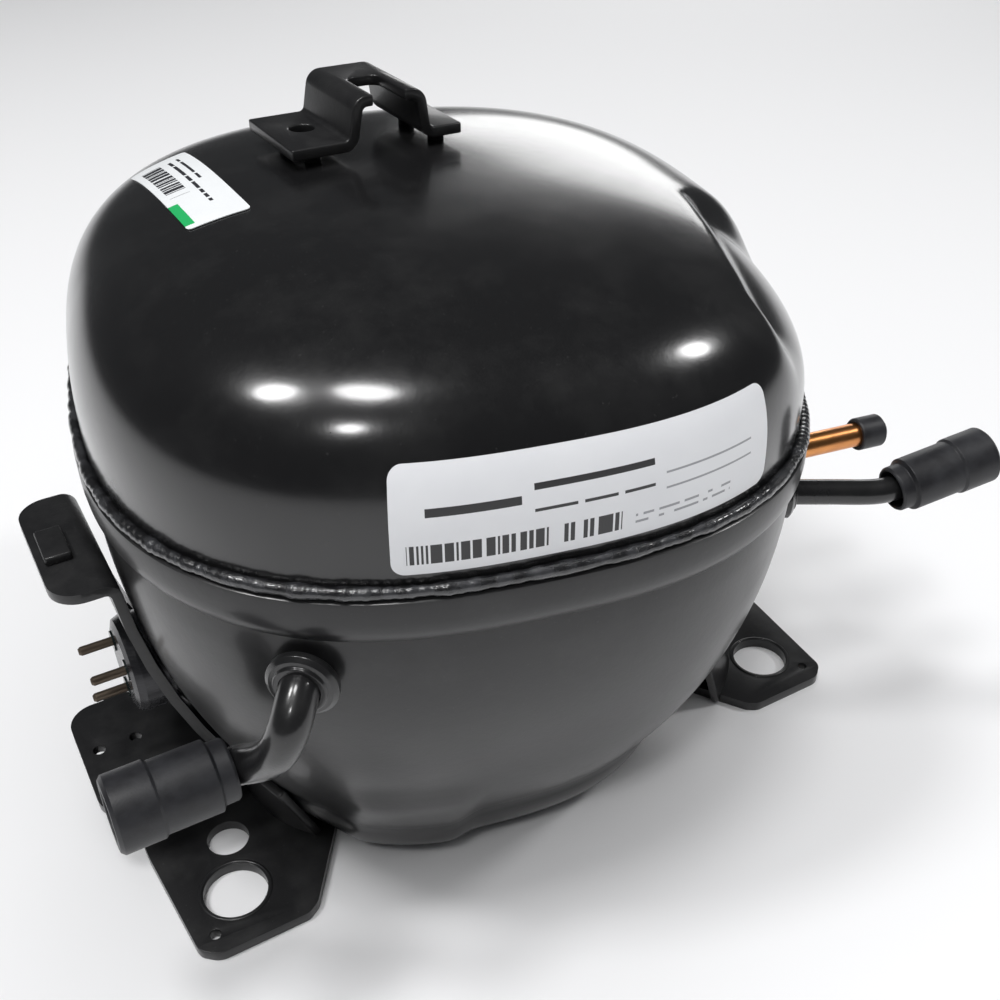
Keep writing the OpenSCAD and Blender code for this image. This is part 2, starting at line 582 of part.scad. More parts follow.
// ---- labels ----------------------------------------------------------------
label_t = 0.35;
label_z0 = seam_z + 4.6;
label_h = 21.5;
module rating_label() {
    rows = 8;
    cols = 22;
    function at(i, j, t) = let (z = mix(label_z0, label_z0 + label_h, j / rows),
        k = pow(1 - pow(max(0, z - dome_z) / dome_h, dome_p), 1 / dome_p))
        concat(plan_point(a_up * k + t, b_up * k + t, -106 + 46.5 * i / cols), [z]);
    color("#f2f3f5") in_shell() plate_grid(
        [for (j = [0:rows]) [for (i = [0:cols]) at(i, j, fit + label_t)]],
        [for (j = [0:rows]) [for (i = [0:cols]) at(i, j, fit)]]);
}
stock_at = [-52, 30];
stock_l = 46;
stock_w = 15.5;
module stock_label() {
    rows = 8;
    cols = 14;
    function at(i, j, t) = let (u = stock_w * (0.5 - j / rows), v = stock_l * (i / cols - 0.5),
        x = stock_at.x + u * cos(10) - v * sin(10), y = stock_at.y + u * sin(10) + v * cos(10),
        s = to_shell([x, y, 0])) [x, y, dome_height(s.x, s.y) + t];
    color("#eceff0") plate_grid(
        [for (j = [0:rows]) [for (i = [0:cols]) at(i, j, 0.3 + label_t)]],
        [for (j = [0:rows]) [for (i = [0:cols]) at(i, j, 0.3)]]);
}

// ---- suspension ------------------------------------------------------------
spring_places = [[1, 1], [-1, 1], [-1, -1], [1, -1]];
peg_d = spring_d - spring_wire - 0.6;
// stamped cross on the shell's floor with a peg for each spring
module spring_pegs() {
    color("#77797c") in_pump() {
        translate([0, 0, carrier_z]) linear_extrude(carrier_t) {
            for (a = [45, 135]) rotate(a) square([2 * post_at * sqrt(2), 10], center = true);
            for (p = spring_places) translate(p * post_at) circle(d = spring_d + spring_wire);
        }
        for (p = spring_places) {
            translate([p.x * post_at, p.y * post_at, carrier_z]) cylinder(d = peg_d, h = carrier_t + 6);
            translate([p.x * 20, p.y * 20, floor_in]) cylinder(d = 9, h = carrier_z - floor_in + 0.5);
        }
    }
}
module spring(i) {
    p = spring_places[i] * post_at;
    turns = 5;
    steps = 12;
    rise = spring_high - spring_low - spring_wire;
    path = [for (k = [0:turns * steps]) let (a = 360 * k / steps) [p.x + spring_d / 2 * cos(a),
        p.y + spring_d / 2 * sin(a), spring_low + spring_wire / 2 + rise * k / (turns * steps)]];
    color("#9a9da1") in_pump() sweep(path, spring_wire / 2 - 0.05, 6);
}
module spring_seats() {
    color("#e6e1d2") in_pump() at_posts() translate([0, 0, spring_high]) difference() {
        cylinder(d = spring_d + spring_wire, h = seat_t);
        translate([0, 0, -1]) cylinder(d = 5.4, h = seat_t + 2);
    }
}

// ---- motor -----------------------------------------------------------------
slots = 24;
stator_bore = rotor_d / 2 + air_gap;
wind_r0 = stator_bore + 2;
wind_r1 = wind_r0 + 14;
module stator_core() {
    color("#6d7075") in_pump() translate([0, 0, stack_z]) linear_extrude(stack_h) difference() {
        intersection() { square(stator_w, center = true); circle(r = stator_w / 2 + 13); }
        circle(r = stator_bore);
        for (i = [0:slots - 1]) rotate(360 * i / slots) {
            translate([wind_r0, -1.9]) square([wind_r1 - wind_r0 - 1, 3.8]);
            translate([stator_bore - 1, -0.8]) square([4, 1.6]);
        }
        for (x = [-1, 1], y = [-1, 1]) translate([x * post_at, y * post_at]) circle(d = 5.4);
    }
}
module slot_liners() {
    color("#f0ead2") in_pump() translate([0, 0, stack_z - 2]) for (i = [0:slots - 1])
        rotate(360 * i / slots) translate([wind_r0 + 0.1, -1.8, 0]) difference() {
            cube([wind_r1 - wind_r0 - 1.2, 3.6, stack_h + 4]);
            translate([0.4, 0.4, -1]) cube([wind_r1 - wind_r0 - 2, 2.8, stack_h + 6]);
        }
}
module end_winding(z0, h) {
    color("#b5651d") in_pump() translate([0, 0, z0]) rotate_extrude() polygon([
        [wind_r0 + 2, 0], [wind_r1 - 2, 0], [wind_r1, 2], [wind_r1, h - 4], [wind_r1 - 4, h],
        [wind_r0 + 4, h], [wind_r0, h - 4], [wind_r0, 2]]);
}
module upper_winding() { end_winding(stack_top + 2.1, wind_h - 1); }
module lower_winding() {
    color("#b5651d") in_pump() translate([0, 0, stack_z - 2.1]) mirror([0, 0, 1]) rotate_extrude()
        polygon([[wind_r0 + 2, 0], [wind_r1 - 5, 0], [wind_r1 - 3, 2], [wind_r1 - 3, 7],
            [wind_r1 - 6, 11], [wind_r0 + 4, 11], [wind_r0, 7], [wind_r0, 2]]);
}
module stator_bolts() {
    color("#8f9296") in_pump() at_posts() {
        translate([0, 0, spring_high - 4]) cylinder(d = 9, h = 4, $fn = 6);
        translate([0, 0, spring_high - 0.5]) cylinder(d = 5, h = stack_h + seat_t + 12.5);
    }
}
module rotor_core() {
    color("#74777c") in_pump() translate([0, 0, stack_z]) difference() {
        cylinder(r = rotor_d / 2, h = stack_h);
        translate([0, 0, -1]) cylinder(d = shaft_d, h = stack_h + 2);
    }
}
module rotor_rings() {
    color("#c3c6ca") in_pump() for (z = [stack_z - 4, stack_top]) translate([0, 0, z]) difference() {
        cylinder(r = rotor_d / 2 - 1.5, h = 4);
        translate([0, 0, -1]) cylinder(r = rotor_d / 2 - 9, h = 6);
    }
}

// ---- crankshaft ------------------------------------------------------------
pin_top = bore_z + rod_t / 2 + 3;
plug_d = 4;
plug_h = 6;
shaft_low = stack_z - 6;
module crankshaft() {
    color("#85888d") in_pump() difference() {
        union() {
            translate([0, 0, shaft_low]) cylinder(d = shaft_d, h = web_z - shaft_low);
            translate([0, 0, web_z]) cylinder(r = crank_r + crankpin_d / 2 + 1.5, h = web_t);
            translate([0, crank_r, web_z + web_t - 0.5])
                cylinder(d = crankpin_d, h = pin_top - web_z - web_t + 0.5);
        }
        translate([0, 0, shaft_low - 1]) cylinder(d = 6, h = 20);
        translate([0, crank_r / 2, pin_top - plug_h]) cylinder(d = plug_d + 2 * run_gap, h = plug_h + 1);
    }
}
module oil_gallery_plug() {
    color("#b0a060") in_pump() translate([0, crank_r / 2, pin_top - plug_h + run_gap])
        cylinder(d = plug_d, h = plug_h - 0.6);
}
module counterweight() {
    color("#5d6065") in_pump() translate([0, 0, stack_z - 8.5]) difference() {
        cylinder(r = rotor_d / 2 - 3, h = 4.5);
        translate([0, 0, -1]) cylinder(r = shaft_d / 2 + 4, h = 7);
        translate([-50, 0, -1]) cube([100, 50, 7]);
    }
}
module oil_pickup() {
    color("#a8abb0") in_pump() translate([0, 0, shaft_low - 16]) difference() {
        union() {
            cylinder(d1 = 4, d2 = 6, h = 10);
            translate([0, 0, 10]) cylinder(d = 6, h = 14);
        }
        translate([0, 0, -1]) cylinder(d = 2.4, h = 30);
    }
}

// ---- pump ------------------------------------------------------------------
block_x0 = face_x - 30;
block_w = bore_d + 21;
block_h = bore_d + 19;
bolt_y = block_w / 2 - 5.5;
bolt_z = block_h / 2 - 5.5;
module bore_axis() { translate([0, 0, bore_z]) rotate([0, 90, 0]) children(); }
module cylinder_block() {
    color("#7b7468") in_pump() difference() {
        union() {
            translate([0, 0, plate_z]) linear_extrude(plate_t) {
                circle(r = 25);
                for (a = [45, 135]) rotate(a) square([2 * post_at * sqrt(2), 2 * post_r - 2], center = true);
                for (x = [-1, 1], y = [-1, 1]) translate([x * post_at, y * post_at]) circle(r = post_r);
                translate([0, -block_w / 2]) square([face_x - 6, block_w]);
            }
            at_posts() translate([0, 0, stack_top]) cylinder(r = post_r, h = plate_z - stack_top + 1);
            translate([0, 0, stack_top + 6]) cylinder(d = shaft_d + 13, h = hub_top - stack_top - 6);
            translate([block_x0, -block_w / 2, plate_z + plate_t - 1])
                cube([face_x - block_x0, block_w, bore_z + block_h / 2 - plate_z - plate_t + 1]);
        }
        translate([0, 0, stack_top]) cylinder(r = shaft_d / 2 + run_gap, h = 60);
        bore_axis() cylinder(d = bore_d, h = 120);
        at_posts() translate([0, 0, stack_top - 1]) cylinder(d = 5.1, h = 16);
        for (y = [-1, 1], z = [-1, 1]) translate([face_x - 14, y * bolt_y, bore_z + z * bolt_z])
            rotate([0, 90, 0]) cylinder(d = 4.1, h = 20);
    }
}
module thrust_washer() {
    color("#c7a24a") in_pump() translate([0, 0, hub_top]) difference() {
        cylinder(d = shaft_d + 10, h = washer_t - 0.05);
        translate([0, 0, -1]) cylinder(d = shaft_d + 2 * run_gap, h = 4);
    }
}
piston_low = ball_x + crown - piston_l;
socket_gap = 0.1;
module piston() {
    color("#6c6f74") in_pump() bore_axis() difference() {
        translate([0, 0, piston_low]) cylinder(r = bore_d / 2 - 0.02, h = piston_l);
        translate([0, 0, piston_low - 1]) cylinder(r = ball_d / 2 + 1, h = ball_x - piston_low + 1);
        translate([0, 0, ball_x]) sphere(r = ball_d / 2 + socket_gap);
    }
}
// everything on the rod's line starts at the ball's centre, aimed at the crankpin
module rod_line() {
    in_pump() translate([ball_x, 0, bore_z]) rotate([0, -90, -swing]) children();
}
module wrist_ball() {
    color("#b9bcc1") difference() {
        in_pump() translate([ball_x, 0, bore_z]) sphere(d = ball_d);
        rod_line() translate([0, 0, 0.5]) cylinder(d = 5, h = 20);
    }
}
module ball_retainer() {
    color("#d0d3d6") in_pump() bore_axis() difference() {
        translate([0, 0, ball_x - 5.6]) cylinder(r = ball_d / 2 + 1 - run_gap, h = 3);
        translate([0, 0, ball_x - 7]) cylinder(r = 4.3, h = 6);
        translate([0, 0, ball_x]) sphere(r = ball_d / 2 + socket_gap);
    }
}
module connecting_rod() {
    eye_r = crankpin_d / 2 + open_gap;
    color("#8c8a84") difference() {
        rod_line() {
            translate([0, 0, 0.6]) cylinder(r = 2.5 - run_gap, h = 9);
            translate([0, 0, 9]) cylinder(d1 = 5, d2 = 7.6, h = 2);
            translate([0, 0, 10.9]) cylinder(d = 7.6, h = rod_l - 10.9 - eye_r - 1);
            translate([0, 0, rod_l]) rotate([0, 90, 0]) translate([0, 0, -rod_t / 2])
                cylinder(r = eye_r + 3.6, h = rod_t);
        }
        rod_line() translate([0, 0, rod_l]) rotate([0, 90, 0]) translate([0, 0, -20])
            cylinder(r = eye_r, h = 40);
    }
}

// ---- valves and head, stacked on the block's face --------------------------
gasket_x = face_x;
reed_x = gasket_x + gasket_t;
valve_x = reed_x + reed_t + 0.05;
head_gasket_x = valve_x + valve_t;
head_x = head_gasket_x + gasket_t;
module face_plate(x, t) {
    translate([x, -block_w / 2, bore_z - block_h / 2]) cube([t, block_w, block_h]);
}
module bolt_holes() {
    for (y = [-1, 1], z = [-1, 1]) translate([face_x - 20, y * bolt_y, bore_z + z * bolt_z])
        rotate([0, 90, 0]) cylinder(d = 4.5, h = 60);
}
port_y = 5;
module valve_plate_gasket() {
    color("#4b4f45") in_pump() difference() {
        face_plate(gasket_x, gasket_t + reed_t + 0.05);
        translate([0, 0, 0]) bore_axis() cylinder(d = bore_d + 1, h = 100);
        bolt_holes();
    }
}
module reed(x, y, long) {
    translate([x, y - 2.2, bore_z - long / 2]) cube([reed_t, 4.4, long]);
}
reed_long = 14;
module suction_reed() { color("#aeb6c0") in_pump() reed(reed_x, -port_y, reed_long); }
module valve_plate() {
    color("#8e9196") in_pump() difference() {
        face_plate(valve_x, valve_t);
        bolt_holes();
        for (y = [-1, 1]) translate([valve_x - 1, y * port_y, bore_z + 3]) rotate([0, 90, 0])
            cylinder(d = 4, h = valve_t + 2);
    }
}
module discharge_reed() {
    color("#aeb6c0") in_pump() reed(head_gasket_x + 0.05, port_y, reed_long);
}
module discharge_stop() {
    color("#9a9da1") in_pump() {
        translate([head_gasket_x + 2.4, port_y - 2.4, bore_z - reed_long / 2 - 2.6])
            cube([1, 4.8, reed_long + 2.6]);
        translate([head_gasket_x, port_y - 2.4, bore_z - reed_long / 2 - 2.6]) cube([3.4, 4.8, 2.4]);
    }
}
module head_gasket() {
    color("#4b4f45") in_pump() difference() {
        face_plate(head_gasket_x, gasket_t);
        bolt_holes();
        translate([head_gasket_x - 1, -12, bore_z - 12]) cube([4, 24, 24]);
    }
}
module cylinder_head() {
    color("#a5a8ad") in_pump() difference() {
        face_plate(head_x, head_t);
        bolt_holes();
        translate([head_x - 1, 1, bore_z - 11.5]) cube([head_t - 2, 10.8, 23]);
        translate([head_x - 1, -11.8, bore_z - 11.5]) cube([head_t - 2, 10.8, 23]);
        translate([head_x + 5, -6, bore_z - 40]) cylinder(d = 6, h = 40);
    }
}
module head_bolts() {
    color("#b9bcc1") in_pump() for (y = [-1, 1], z = [-1, 1])
        translate([0, y * bolt_y, bore_z + z * bolt_z]) rotate([0, 90, 0]) {
            translate([0, 0, face_x - 12]) cylinder(d = 4, h = head_x + head_t - face_x + 12);
            translate([0, 0, head_x + head_t]) cylinder(d = 7, h = 3.4);
        }
}
muffler_low = bore_z - block_h / 2 - 20;
muffler_x = post_at + post_r + 2.5;       // clear of the stator's post
muffler_l = face_x + 12 - muffler_x;
muffler_w = 22;
muffler_h = 34;
muffler_y = -block_w / 2 - 2 - muffler_w;
muffler_t = 1.5;
module suction_muffler() {
    color("#e9e6da") in_pump() difference() {
        union() {
            translate([muffler_x, muffler_y, muffler_low + 6]) cube([muffler_l, muffler_w, muffler_h]);
            translate([head_x + 5, -6, bore_z - block_h / 2 - 10]) cylinder(d = 5.6, h = 18);
            translate([head_x - 7, -block_w / 2 - 3, bore_z - block_h / 2 - 9.5]) cube([15, block_w / 2, 6]);
        }
        translate([muffler_x + muffler_t, muffler_y + muffler_t, muffler_low + 5])
            cube([muffler_l - 2 * muffler_t, muffler_w - 2 * muffler_t, muffler_h - muffler_t + 1]);
    }
}
module muffler_cover() {
    color("#dcd8c8") in_pump() translate([muffler_x - 1, muffler_y - 1, muffler_low + 3])
        cube([muffler_l + 2, muffler_w + 2, 3]);
}
module discharge_muffler() {
    color("#62656a") in_pump() translate([24, 34, plate_z + plate_t]) {
        cylinder(d = 26, h = 20);
        translate([0, 0, 20]) cylinder(d1 = 26, d2 = 18, h = 4);
    }
}
loop_d = 4;
module discharge_loop() {
    color("#c98a55") in_pump() sweep(smooth([[-24.8, -73.4, pipe_z - 1], [-34, -64, pipe_z + 2],
        [-50, -46, pipe_z + 9], [-60, -14, pipe_z + 17], [-56, 20, pipe_z + 25],
        [-36, 43, pipe_z + 31], [-12, 45, pipe_z + 33], [8.4, 36, pipe_z + 32]], 4), loop_d / 2, 8);
}
module lead_wires() {
    color("#c23b2e") in_pump() for (y = [-1, 0, 1]) translate([y * 3, 0, 0]) sweep(smooth(
        [[-11, 39, stack_top + 16.1], [-13, 47, stack_top + 17], [-14, 54, stack_top + 12],
        [-15, 60, stack_top], [-15, 64, cup_z + 8], [-15, 66, cup_z + 1.5], [-15, 68.2, cup_z]], 3),
        0.9, 6);
}

lower_shell();
upper_shell();
weld_bead();
foot_left();
foot_right();
top_bracket();
terminal_bracket();
terminal_cup();
glass_seals();
terminal_pins();
cluster_block();
process_collar();
suction_collar();
discharge_collar();
process_pipe();
suction_pipe();
discharge_pipe();
process_cap();
suction_cap();
discharge_cap();
rating_label();
stock_label();
spring_pegs();
spring(0);  // spring_1
spring(1);  // spring_2
spring(2);  // spring_3
spring(3);  // spring_4
spring_seats();
stator_core();
slot_liners();
upper_winding();
lower_winding();
stator_bolts();
rotor_core();
rotor_rings();
crankshaft();
counterweight();
oil_pickup();
cylinder_block();
thrust_washer();
oil_gallery_plug();
connecting_rod();
wrist_ball();
ball_retainer();
piston();
valve_plate_gasket();
suction_reed();
valve_plate();
discharge_reed();
discharge_stop();
head_gasket();
cylinder_head();
head_bolts();
suction_muffler();
muffler_cover();
discharge_muffler();
discharge_loop();
lead_wires();
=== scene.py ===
import math

import bpy
from mathutils import Matrix, Vector, noise


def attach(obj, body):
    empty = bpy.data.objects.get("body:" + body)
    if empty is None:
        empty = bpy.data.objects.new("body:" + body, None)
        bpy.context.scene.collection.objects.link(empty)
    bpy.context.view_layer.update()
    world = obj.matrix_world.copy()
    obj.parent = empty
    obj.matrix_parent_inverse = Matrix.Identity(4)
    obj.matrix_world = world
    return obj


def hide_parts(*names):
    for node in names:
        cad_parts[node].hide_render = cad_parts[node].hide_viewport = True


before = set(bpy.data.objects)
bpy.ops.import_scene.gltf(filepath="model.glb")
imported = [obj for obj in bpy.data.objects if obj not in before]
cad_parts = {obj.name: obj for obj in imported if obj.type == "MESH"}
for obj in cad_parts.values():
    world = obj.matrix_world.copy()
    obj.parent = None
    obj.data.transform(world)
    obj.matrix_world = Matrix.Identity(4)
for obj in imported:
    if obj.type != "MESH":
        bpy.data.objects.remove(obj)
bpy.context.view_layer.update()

MM = 0.001
bpy.ops.object.select_all(action="DESELECT")


# ---- Camera, floor and lights --------------------------------------------
# A product stand: one camera above and to the left of the compressor, a pale
# floor under its feet, and soft lamps that give the blobs of light on the dome.

bpy.ops.object.camera_add(
    location=(-0.1196, -0.2266, 0.2486),
    rotation=(math.radians(55.24), 0, math.radians(-30.25)),
)
camera = bpy.context.object
camera.data.sensor_width = 36
camera.data.lens = 41.71
camera.data.shift_x = -0.0017
camera.data.shift_y = 0.0005
camera.data.clip_start = 0.01
bpy.context.scene.camera = camera
bpy.context.scene.view_settings.view_transform = "Standard"

bpy.ops.mesh.primitive_plane_add(size=8, location=(0, 0, 0))
floor = bpy.context.object
floor.name = "floor"


class Wire:
    """A socket in a shader, so that sums on it can be written as sums."""

    def __init__(self, finish, socket):
        self.finish = finish
        self.socket = socket

    def maths(self, operation, first, second):
        return self.finish.node("ShaderNodeMath", {"operation": operation}, {0: first, 1: second})

    def __add__(self, other):
        return self.maths("ADD", self, other)

    def __sub__(self, other):
        return self.maths("SUBTRACT", self, other)

    def __rsub__(self, other):
        return self.maths("SUBTRACT", other, self)

    def __mul__(self, other):
        return self.maths("MULTIPLY", self, other)

    def __truediv__(self, other):
        return self.maths("DIVIDE", self, other)

    def __gt__(self, other):
        return self.maths("GREATER_THAN", self, other)

    def __lt__(self, other):
        return self.maths("LESS_THAN", self, other)

    def __mod__(self, other):
        return self.maths("FLOORED_MODULO", self, other)

    __radd__ = __add__
    __rmul__ = __mul__


class Finish:
    """A material built up node by node."""

    def __init__(self, name):
        self.material = bpy.data.materials.new(name)
        self.material.use_nodes = True
        self.nodes = self.material.node_tree.nodes
        self.links = self.material.node_tree.links
        self.nodes.clear()

    def node(self, kind, settings=None, values=None, out=0):
        """Adds one node: its settings first, then the values or links of its sockets."""
        made = self.nodes.new(kind)
        for key, value in (settings or {}).items():
            if key == "stops":
                ramp = made.color_ramp
                while len(ramp.elements) < len(value):
                    ramp.elements.new(0.5)
                for element, (place, colour) in zip(ramp.elements, value):
                    element.position = place
                    element.color = colour
            else:
                setattr(made, key, value)
        for key, value in (values or {}).items():
            if isinstance(value, Wire):
                self.links.new(value.socket, made.inputs[key])
            elif value is not None:
                made.inputs[key].default_value = value
        return Wire(self, made.outputs[out]) if made.outputs else None

    def place(self, kind="Object"):
        """Where a point lies, on the piece itself or on its own flat map."""
        index = {"Object": 3, "UV": 2}[kind]
        return self.node("ShaderNodeTexCoord", out=index)

    def split(self, vector):
        """The three parts of a vector."""
        first = self.node("ShaderNodeSeparateXYZ", values={0: vector})
        parts = first.socket.node.outputs
        return [Wire(self, parts[i]) for i in range(3)]

    def grain(self, scale, detail=2.0, where=None, stretch=None, rough=0.5):
        """Noise from 0 to 1, scale features to the metre."""
        at = where or self.place()
        if stretch:
            at = self.node("ShaderNodeMapping", values={"Vector": at, "Scale": stretch})
        return self.node(
            "ShaderNodeTexNoise",
            values={"Vector": at, "Scale": scale, "Detail": detail, "Roughness": rough},
        )

    def ramp(self, value, *stops):
        """A colour or grey picked along a value."""
        full = [(p, (c, c, c, 1) if isinstance(c, (int, float)) else (*c, 1)) for p, c in stops]
        return self.node("ShaderNodeValToRGB", {"stops": full}, {0: value})

    def blend(self, factor, one, two):
        """From one colour to another."""
        return self.node(
            "ShaderNodeMix",
            {"data_type": "RGBA"},
            {
                0: factor,
                6: one if isinstance(one, Wire) else (*one, 1),
                7: two if isinstance(two, Wire) else (*two, 1),
            },
            out=2,
        )

    def bump(self, height, strength, deep):
        """Fine relief that isn't worth a mesh."""
        return self.node(
            "ShaderNodeBump", values={"Height": height, "Strength": strength, "Distance": deep}
        )

    def surface(self, **sockets):
        """The shader itself. Names are the sockets' own, with _ for a space."""
        shader = self.node(
            "ShaderNodeBsdfPrincipled", values={k.replace("_", " "): v for k, v in sockets.items()}
        )
        self.node("ShaderNodeOutputMaterial", values={0: shader})
        return self.material


def wear(piece, material):
    """Gives a piece one finish."""
    piece.data.materials.clear()
    piece.data.materials.append(material)


paper = Finish("studio_floor")
wear(floor, paper.surface(Base_Color=(0.86, 0.86, 0.87, 1), Roughness=0.85))

world = bpy.data.worlds.new("studio")
bpy.context.scene.world = world
world.use_nodes = True
sky = world.node_tree.nodes["Background"]
sky.inputs[0].default_value = (0.93, 0.96, 1.0, 1)
sky.inputs[1].default_value = 0.05

# soft lamps high round the stand: where each is, its width, depth and power
SOFT_LAMPS = [
    ((-0.76, 0.16, 1.57), 0.26, 0.34, 8.0),
    ((-0.30, -0.19, 1.72), 0.40, 0.26, 7.0),
    ((-0.71, -0.73, 1.44), 0.20, 0.18, 3.5),
    ((1.12, -0.43, 1.24), 0.22, 0.26, 5.0),
    ((1.05, 1.22, 0.45), 0.9, 0.5, 3.0),
]
for spot, wide, deep, watts in SOFT_LAMPS:
    bpy.ops.object.light_add(type="AREA", location=spot)
    lamp = bpy.context.object
    lamp.data.shape = "ELLIPSE"
    lamp.data.size = wide
    lamp.data.size_y = deep
    lamp.data.energy = watts
    lamp.rotation_euler = (Vector((0, 0, 0.1)) - Vector(spot)).to_track_quat("-Z", "Y").to_euler()
# a wide sheet overhead fills the floor and shadows without showing in the paint
bpy.ops.object.light_add(type="AREA", location=(-0.2, -0.2, 1.8))
fill = bpy.context.object
fill.data.size = 2.4
fill.data.energy = 24.0
fill.visible_glossy = False


# ---- Lower shell ----------------------------------------------------------
# The deep-drawn steel bowl that carries everything, 3 mm thick, with a flared
# lip round its top. Sprayed with black enamel and baked after welding.

TURN = math.radians(-12)
CENTRE = Vector((-6, 6, 0))
SQUARE = 2.56
HALF_W = 82.7
HALF_L = 91.6
SEAM = 113.5
GROOVE = 102.5
BOWL = 19.0
FLOOR_UP = 3.0


def power(value, exponent):
    """A signed power."""
    return math.copysign(abs(value) ** exponent, value)


def outline(half_w, half_l, turn):
    """A point of the shell's rounded-square plan."""
    return (
        half_w * power(math.cos(turn), 2 / SQUARE),
        half_l * power(math.sin(turn), 2 / SQUARE),
    )


def to_world(x, y, z):
    """From the shell's own axes, in millimetres, to the frame, in metres."""
    c, s = math.cos(TURN), math.sin(TURN)
    return Vector((CENTRE.x + x * c - y * s, CENTRE.y + x * s + y * c, z)) * MM


def rise(low, high, value):
    """A smooth step from 0 to 1."""
    t = min(1.0, max(0.0, (value - low) / (high - low)))
    return t * t * (3 - 2 * t)


def along(stops, value):
    """A value read off a list of (place, value) stops."""
    if value <= stops[0][0]:
        return stops[0][1]
    for (p0, v0), (p1, v1) in zip(stops, stops[1:]):
        if value <= p1:
            return v0 + (v1 - v0) * (value - p0) / (p1 - p0)
    return stops[-1][1]


def wall(z):
    """Half width and half length of the bowl's wall at a height."""
    t = (max(0.0, GROOVE - z) / (GROOVE - BOWL)) ** 2
    return HALF_W + 0.6 - 22.2 * t, HALF_L + 0.6 - 27.6 * t


def pressed_boss(x, y, z):
    """The pad pressed outwards low on the front of the bowl."""
    if y > -20:
        return 0.0
    side = rise(-44, -36, x) * (1 - rise(-16, -6, x))
    return 3.2 * side * (1 - rise(36, 50, z)) * rise(3, 12, z)


def formed(name, across, down, shape):
    """A grid primitive pulled into shape: shape takes 0..1 across and down."""
    bpy.ops.mesh.primitive_grid_add(x_subdivisions=across, y_subdivisions=down, size=2)
    piece = bpy.context.object
    piece.name = name
    for vertex in piece.data.vertices:
        vertex.co = shape((vertex.co.x + 1) / 2, (vertex.co.y + 1) / 2)
    return piece


def closed(piece, inside=False):
    """Welds the edges that meet and points every face outwards."""
    bpy.ops.object.mode_set(mode="EDIT")
    bpy.ops.mesh.select_all(action="SELECT")
    bpy.ops.mesh.remove_doubles(threshold=0.000004)
    bpy.ops.mesh.dissolve_degenerate(threshold=0.0000005)
    bpy.ops.mesh.normals_make_consistent(inside=inside)
    bpy.ops.object.mode_set(mode="OBJECT")
    return piece


def smooth(piece, angle=35):
    """Smooth shading that keeps real edges."""
    bpy.ops.object.select_all(action="DESELECT")
    piece.select_set(True)
    bpy.context.view_layer.objects.active = piece
    bpy.ops.object.shade_smooth_by_angle(angle=math.radians(angle))
    piece.select_set(False)


def fitted(piece, material, body, slot, *nodes):
    """Finishes a piece: its look, its body and the CAD nodes it stands for."""
    wear(piece, material)
    smooth(piece)
    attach(piece, body)
    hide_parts(*nodes)
    return piece


LIP = [
    (0.15, SEAM - 7.6), (0.15, SEAM), (1.6, SEAM), (2.2, SEAM - 0.4), (2.4, SEAM - 1.2),
    (2.4, SEAM - 5.2), (2.2, SEAM - 7.2), (1.7, SEAM - 8.8), (0.9, SEAM - 10.2), (0.35, SEAM - 11.0),
    (0.4, SEAM - 11.8),
]
# rings of the bowl as (half width, half length, height), rim first, then
# down the outside, across the floor and back up the inside
bowl_rings = [(HALF_W + out, HALF_L + out, z) for out, z in LIP]
for i in range(1, 31):
    z = GROOVE - 1.6 + (BOWL - GROOVE + 1.6) * i / 30
    bowl_rings.append((*wall(z), z))
for i in range(1, 13):
    f = math.radians(7.5 * i)
    back = 13 * (1 - math.cos(f))
    a, b = wall(BOWL)
    bowl_rings.append((a - back, b - back, BOWL - (BOWL - FLOOR_UP) * math.sin(f)))
a, b, z = bowl_rings[-1]
bowl_rings += [(a * k, b * k, z) for k in (0.92, 0.75, 0.5, 0.25, 0.0)]
bowl_rings += [(a * k, b * k, z + 3) for k in (0.0, 0.5, 1.0)]
for i in range(0, 13):
    z = BOWL + (SEAM - 8.2 - BOWL) * i / 12
    a, b = wall(z)
    bowl_rings.append((a - 3, b - 3, z))
bowl_rings.append(bowl_rings[0])


def bowl_point(u, v):
    """A point of the bowl: u round it, v along its rings."""
    place = v * (len(bowl_rings) - 1)
    a, b, z = bowl_rings[round(place)]
    x, y = outline(a, b, 2 * math.pi * u)
    if a > 1 and place < 55:
        out = pressed_boss(x, y, z)
        y -= out
    return to_world(x, y, z)


lower = closed(formed("lower_shell_skin", 224, len(bowl_rings) - 1, bowl_point))


def enamel(name, shine, coat, shade=0.012, peel=0.35, dust=0.5):
    """Sprayed black enamel: orange peel, faint dust and duller patches."""
    paint = Finish(name)
    patches = paint.grain(22, 3.0)
    specks = paint.ramp(paint.grain(1400, 1.0), (0.70, 0.0), (0.80, 1.0))
    haze = paint.ramp(paint.grain(60, 4.0, rough=0.65), (0.45, 0.0), (0.85, 1.0))
    tone = paint.blend(haze * dust, (shade, shade, shade * 1.06), (shade * 3.0,) * 3)
    tone = paint.blend(specks * (0.25 * dust), tone, (0.10, 0.10, 0.10))
    skin = paint.grain(420, 2.0) * 0.7 + paint.grain(1500, 1.0) * 0.3
    return paint.surface(
        Base_Color=tone,
        Roughness=patches * 0.10 + shine + haze * 0.08,
        Normal=paint.bump(skin, peel, 0.00012),
        Coat_Weight=coat,
        Coat_Roughness=0.13,
        IOR=1.42,
    )


satin_black = enamel("black_enamel_bowl", 0.26, 0.25, 0.013, 0.30)
fitted(lower, satin_black, "housing", "black_enamel", "lower_shell")


# ---- Upper shell ----------------------------------------------------------
# The drawn steel dome whose rim drops inside the lip. It carries a hollow in
# its right shoulder, and the enamel on it is the glossiest of all.

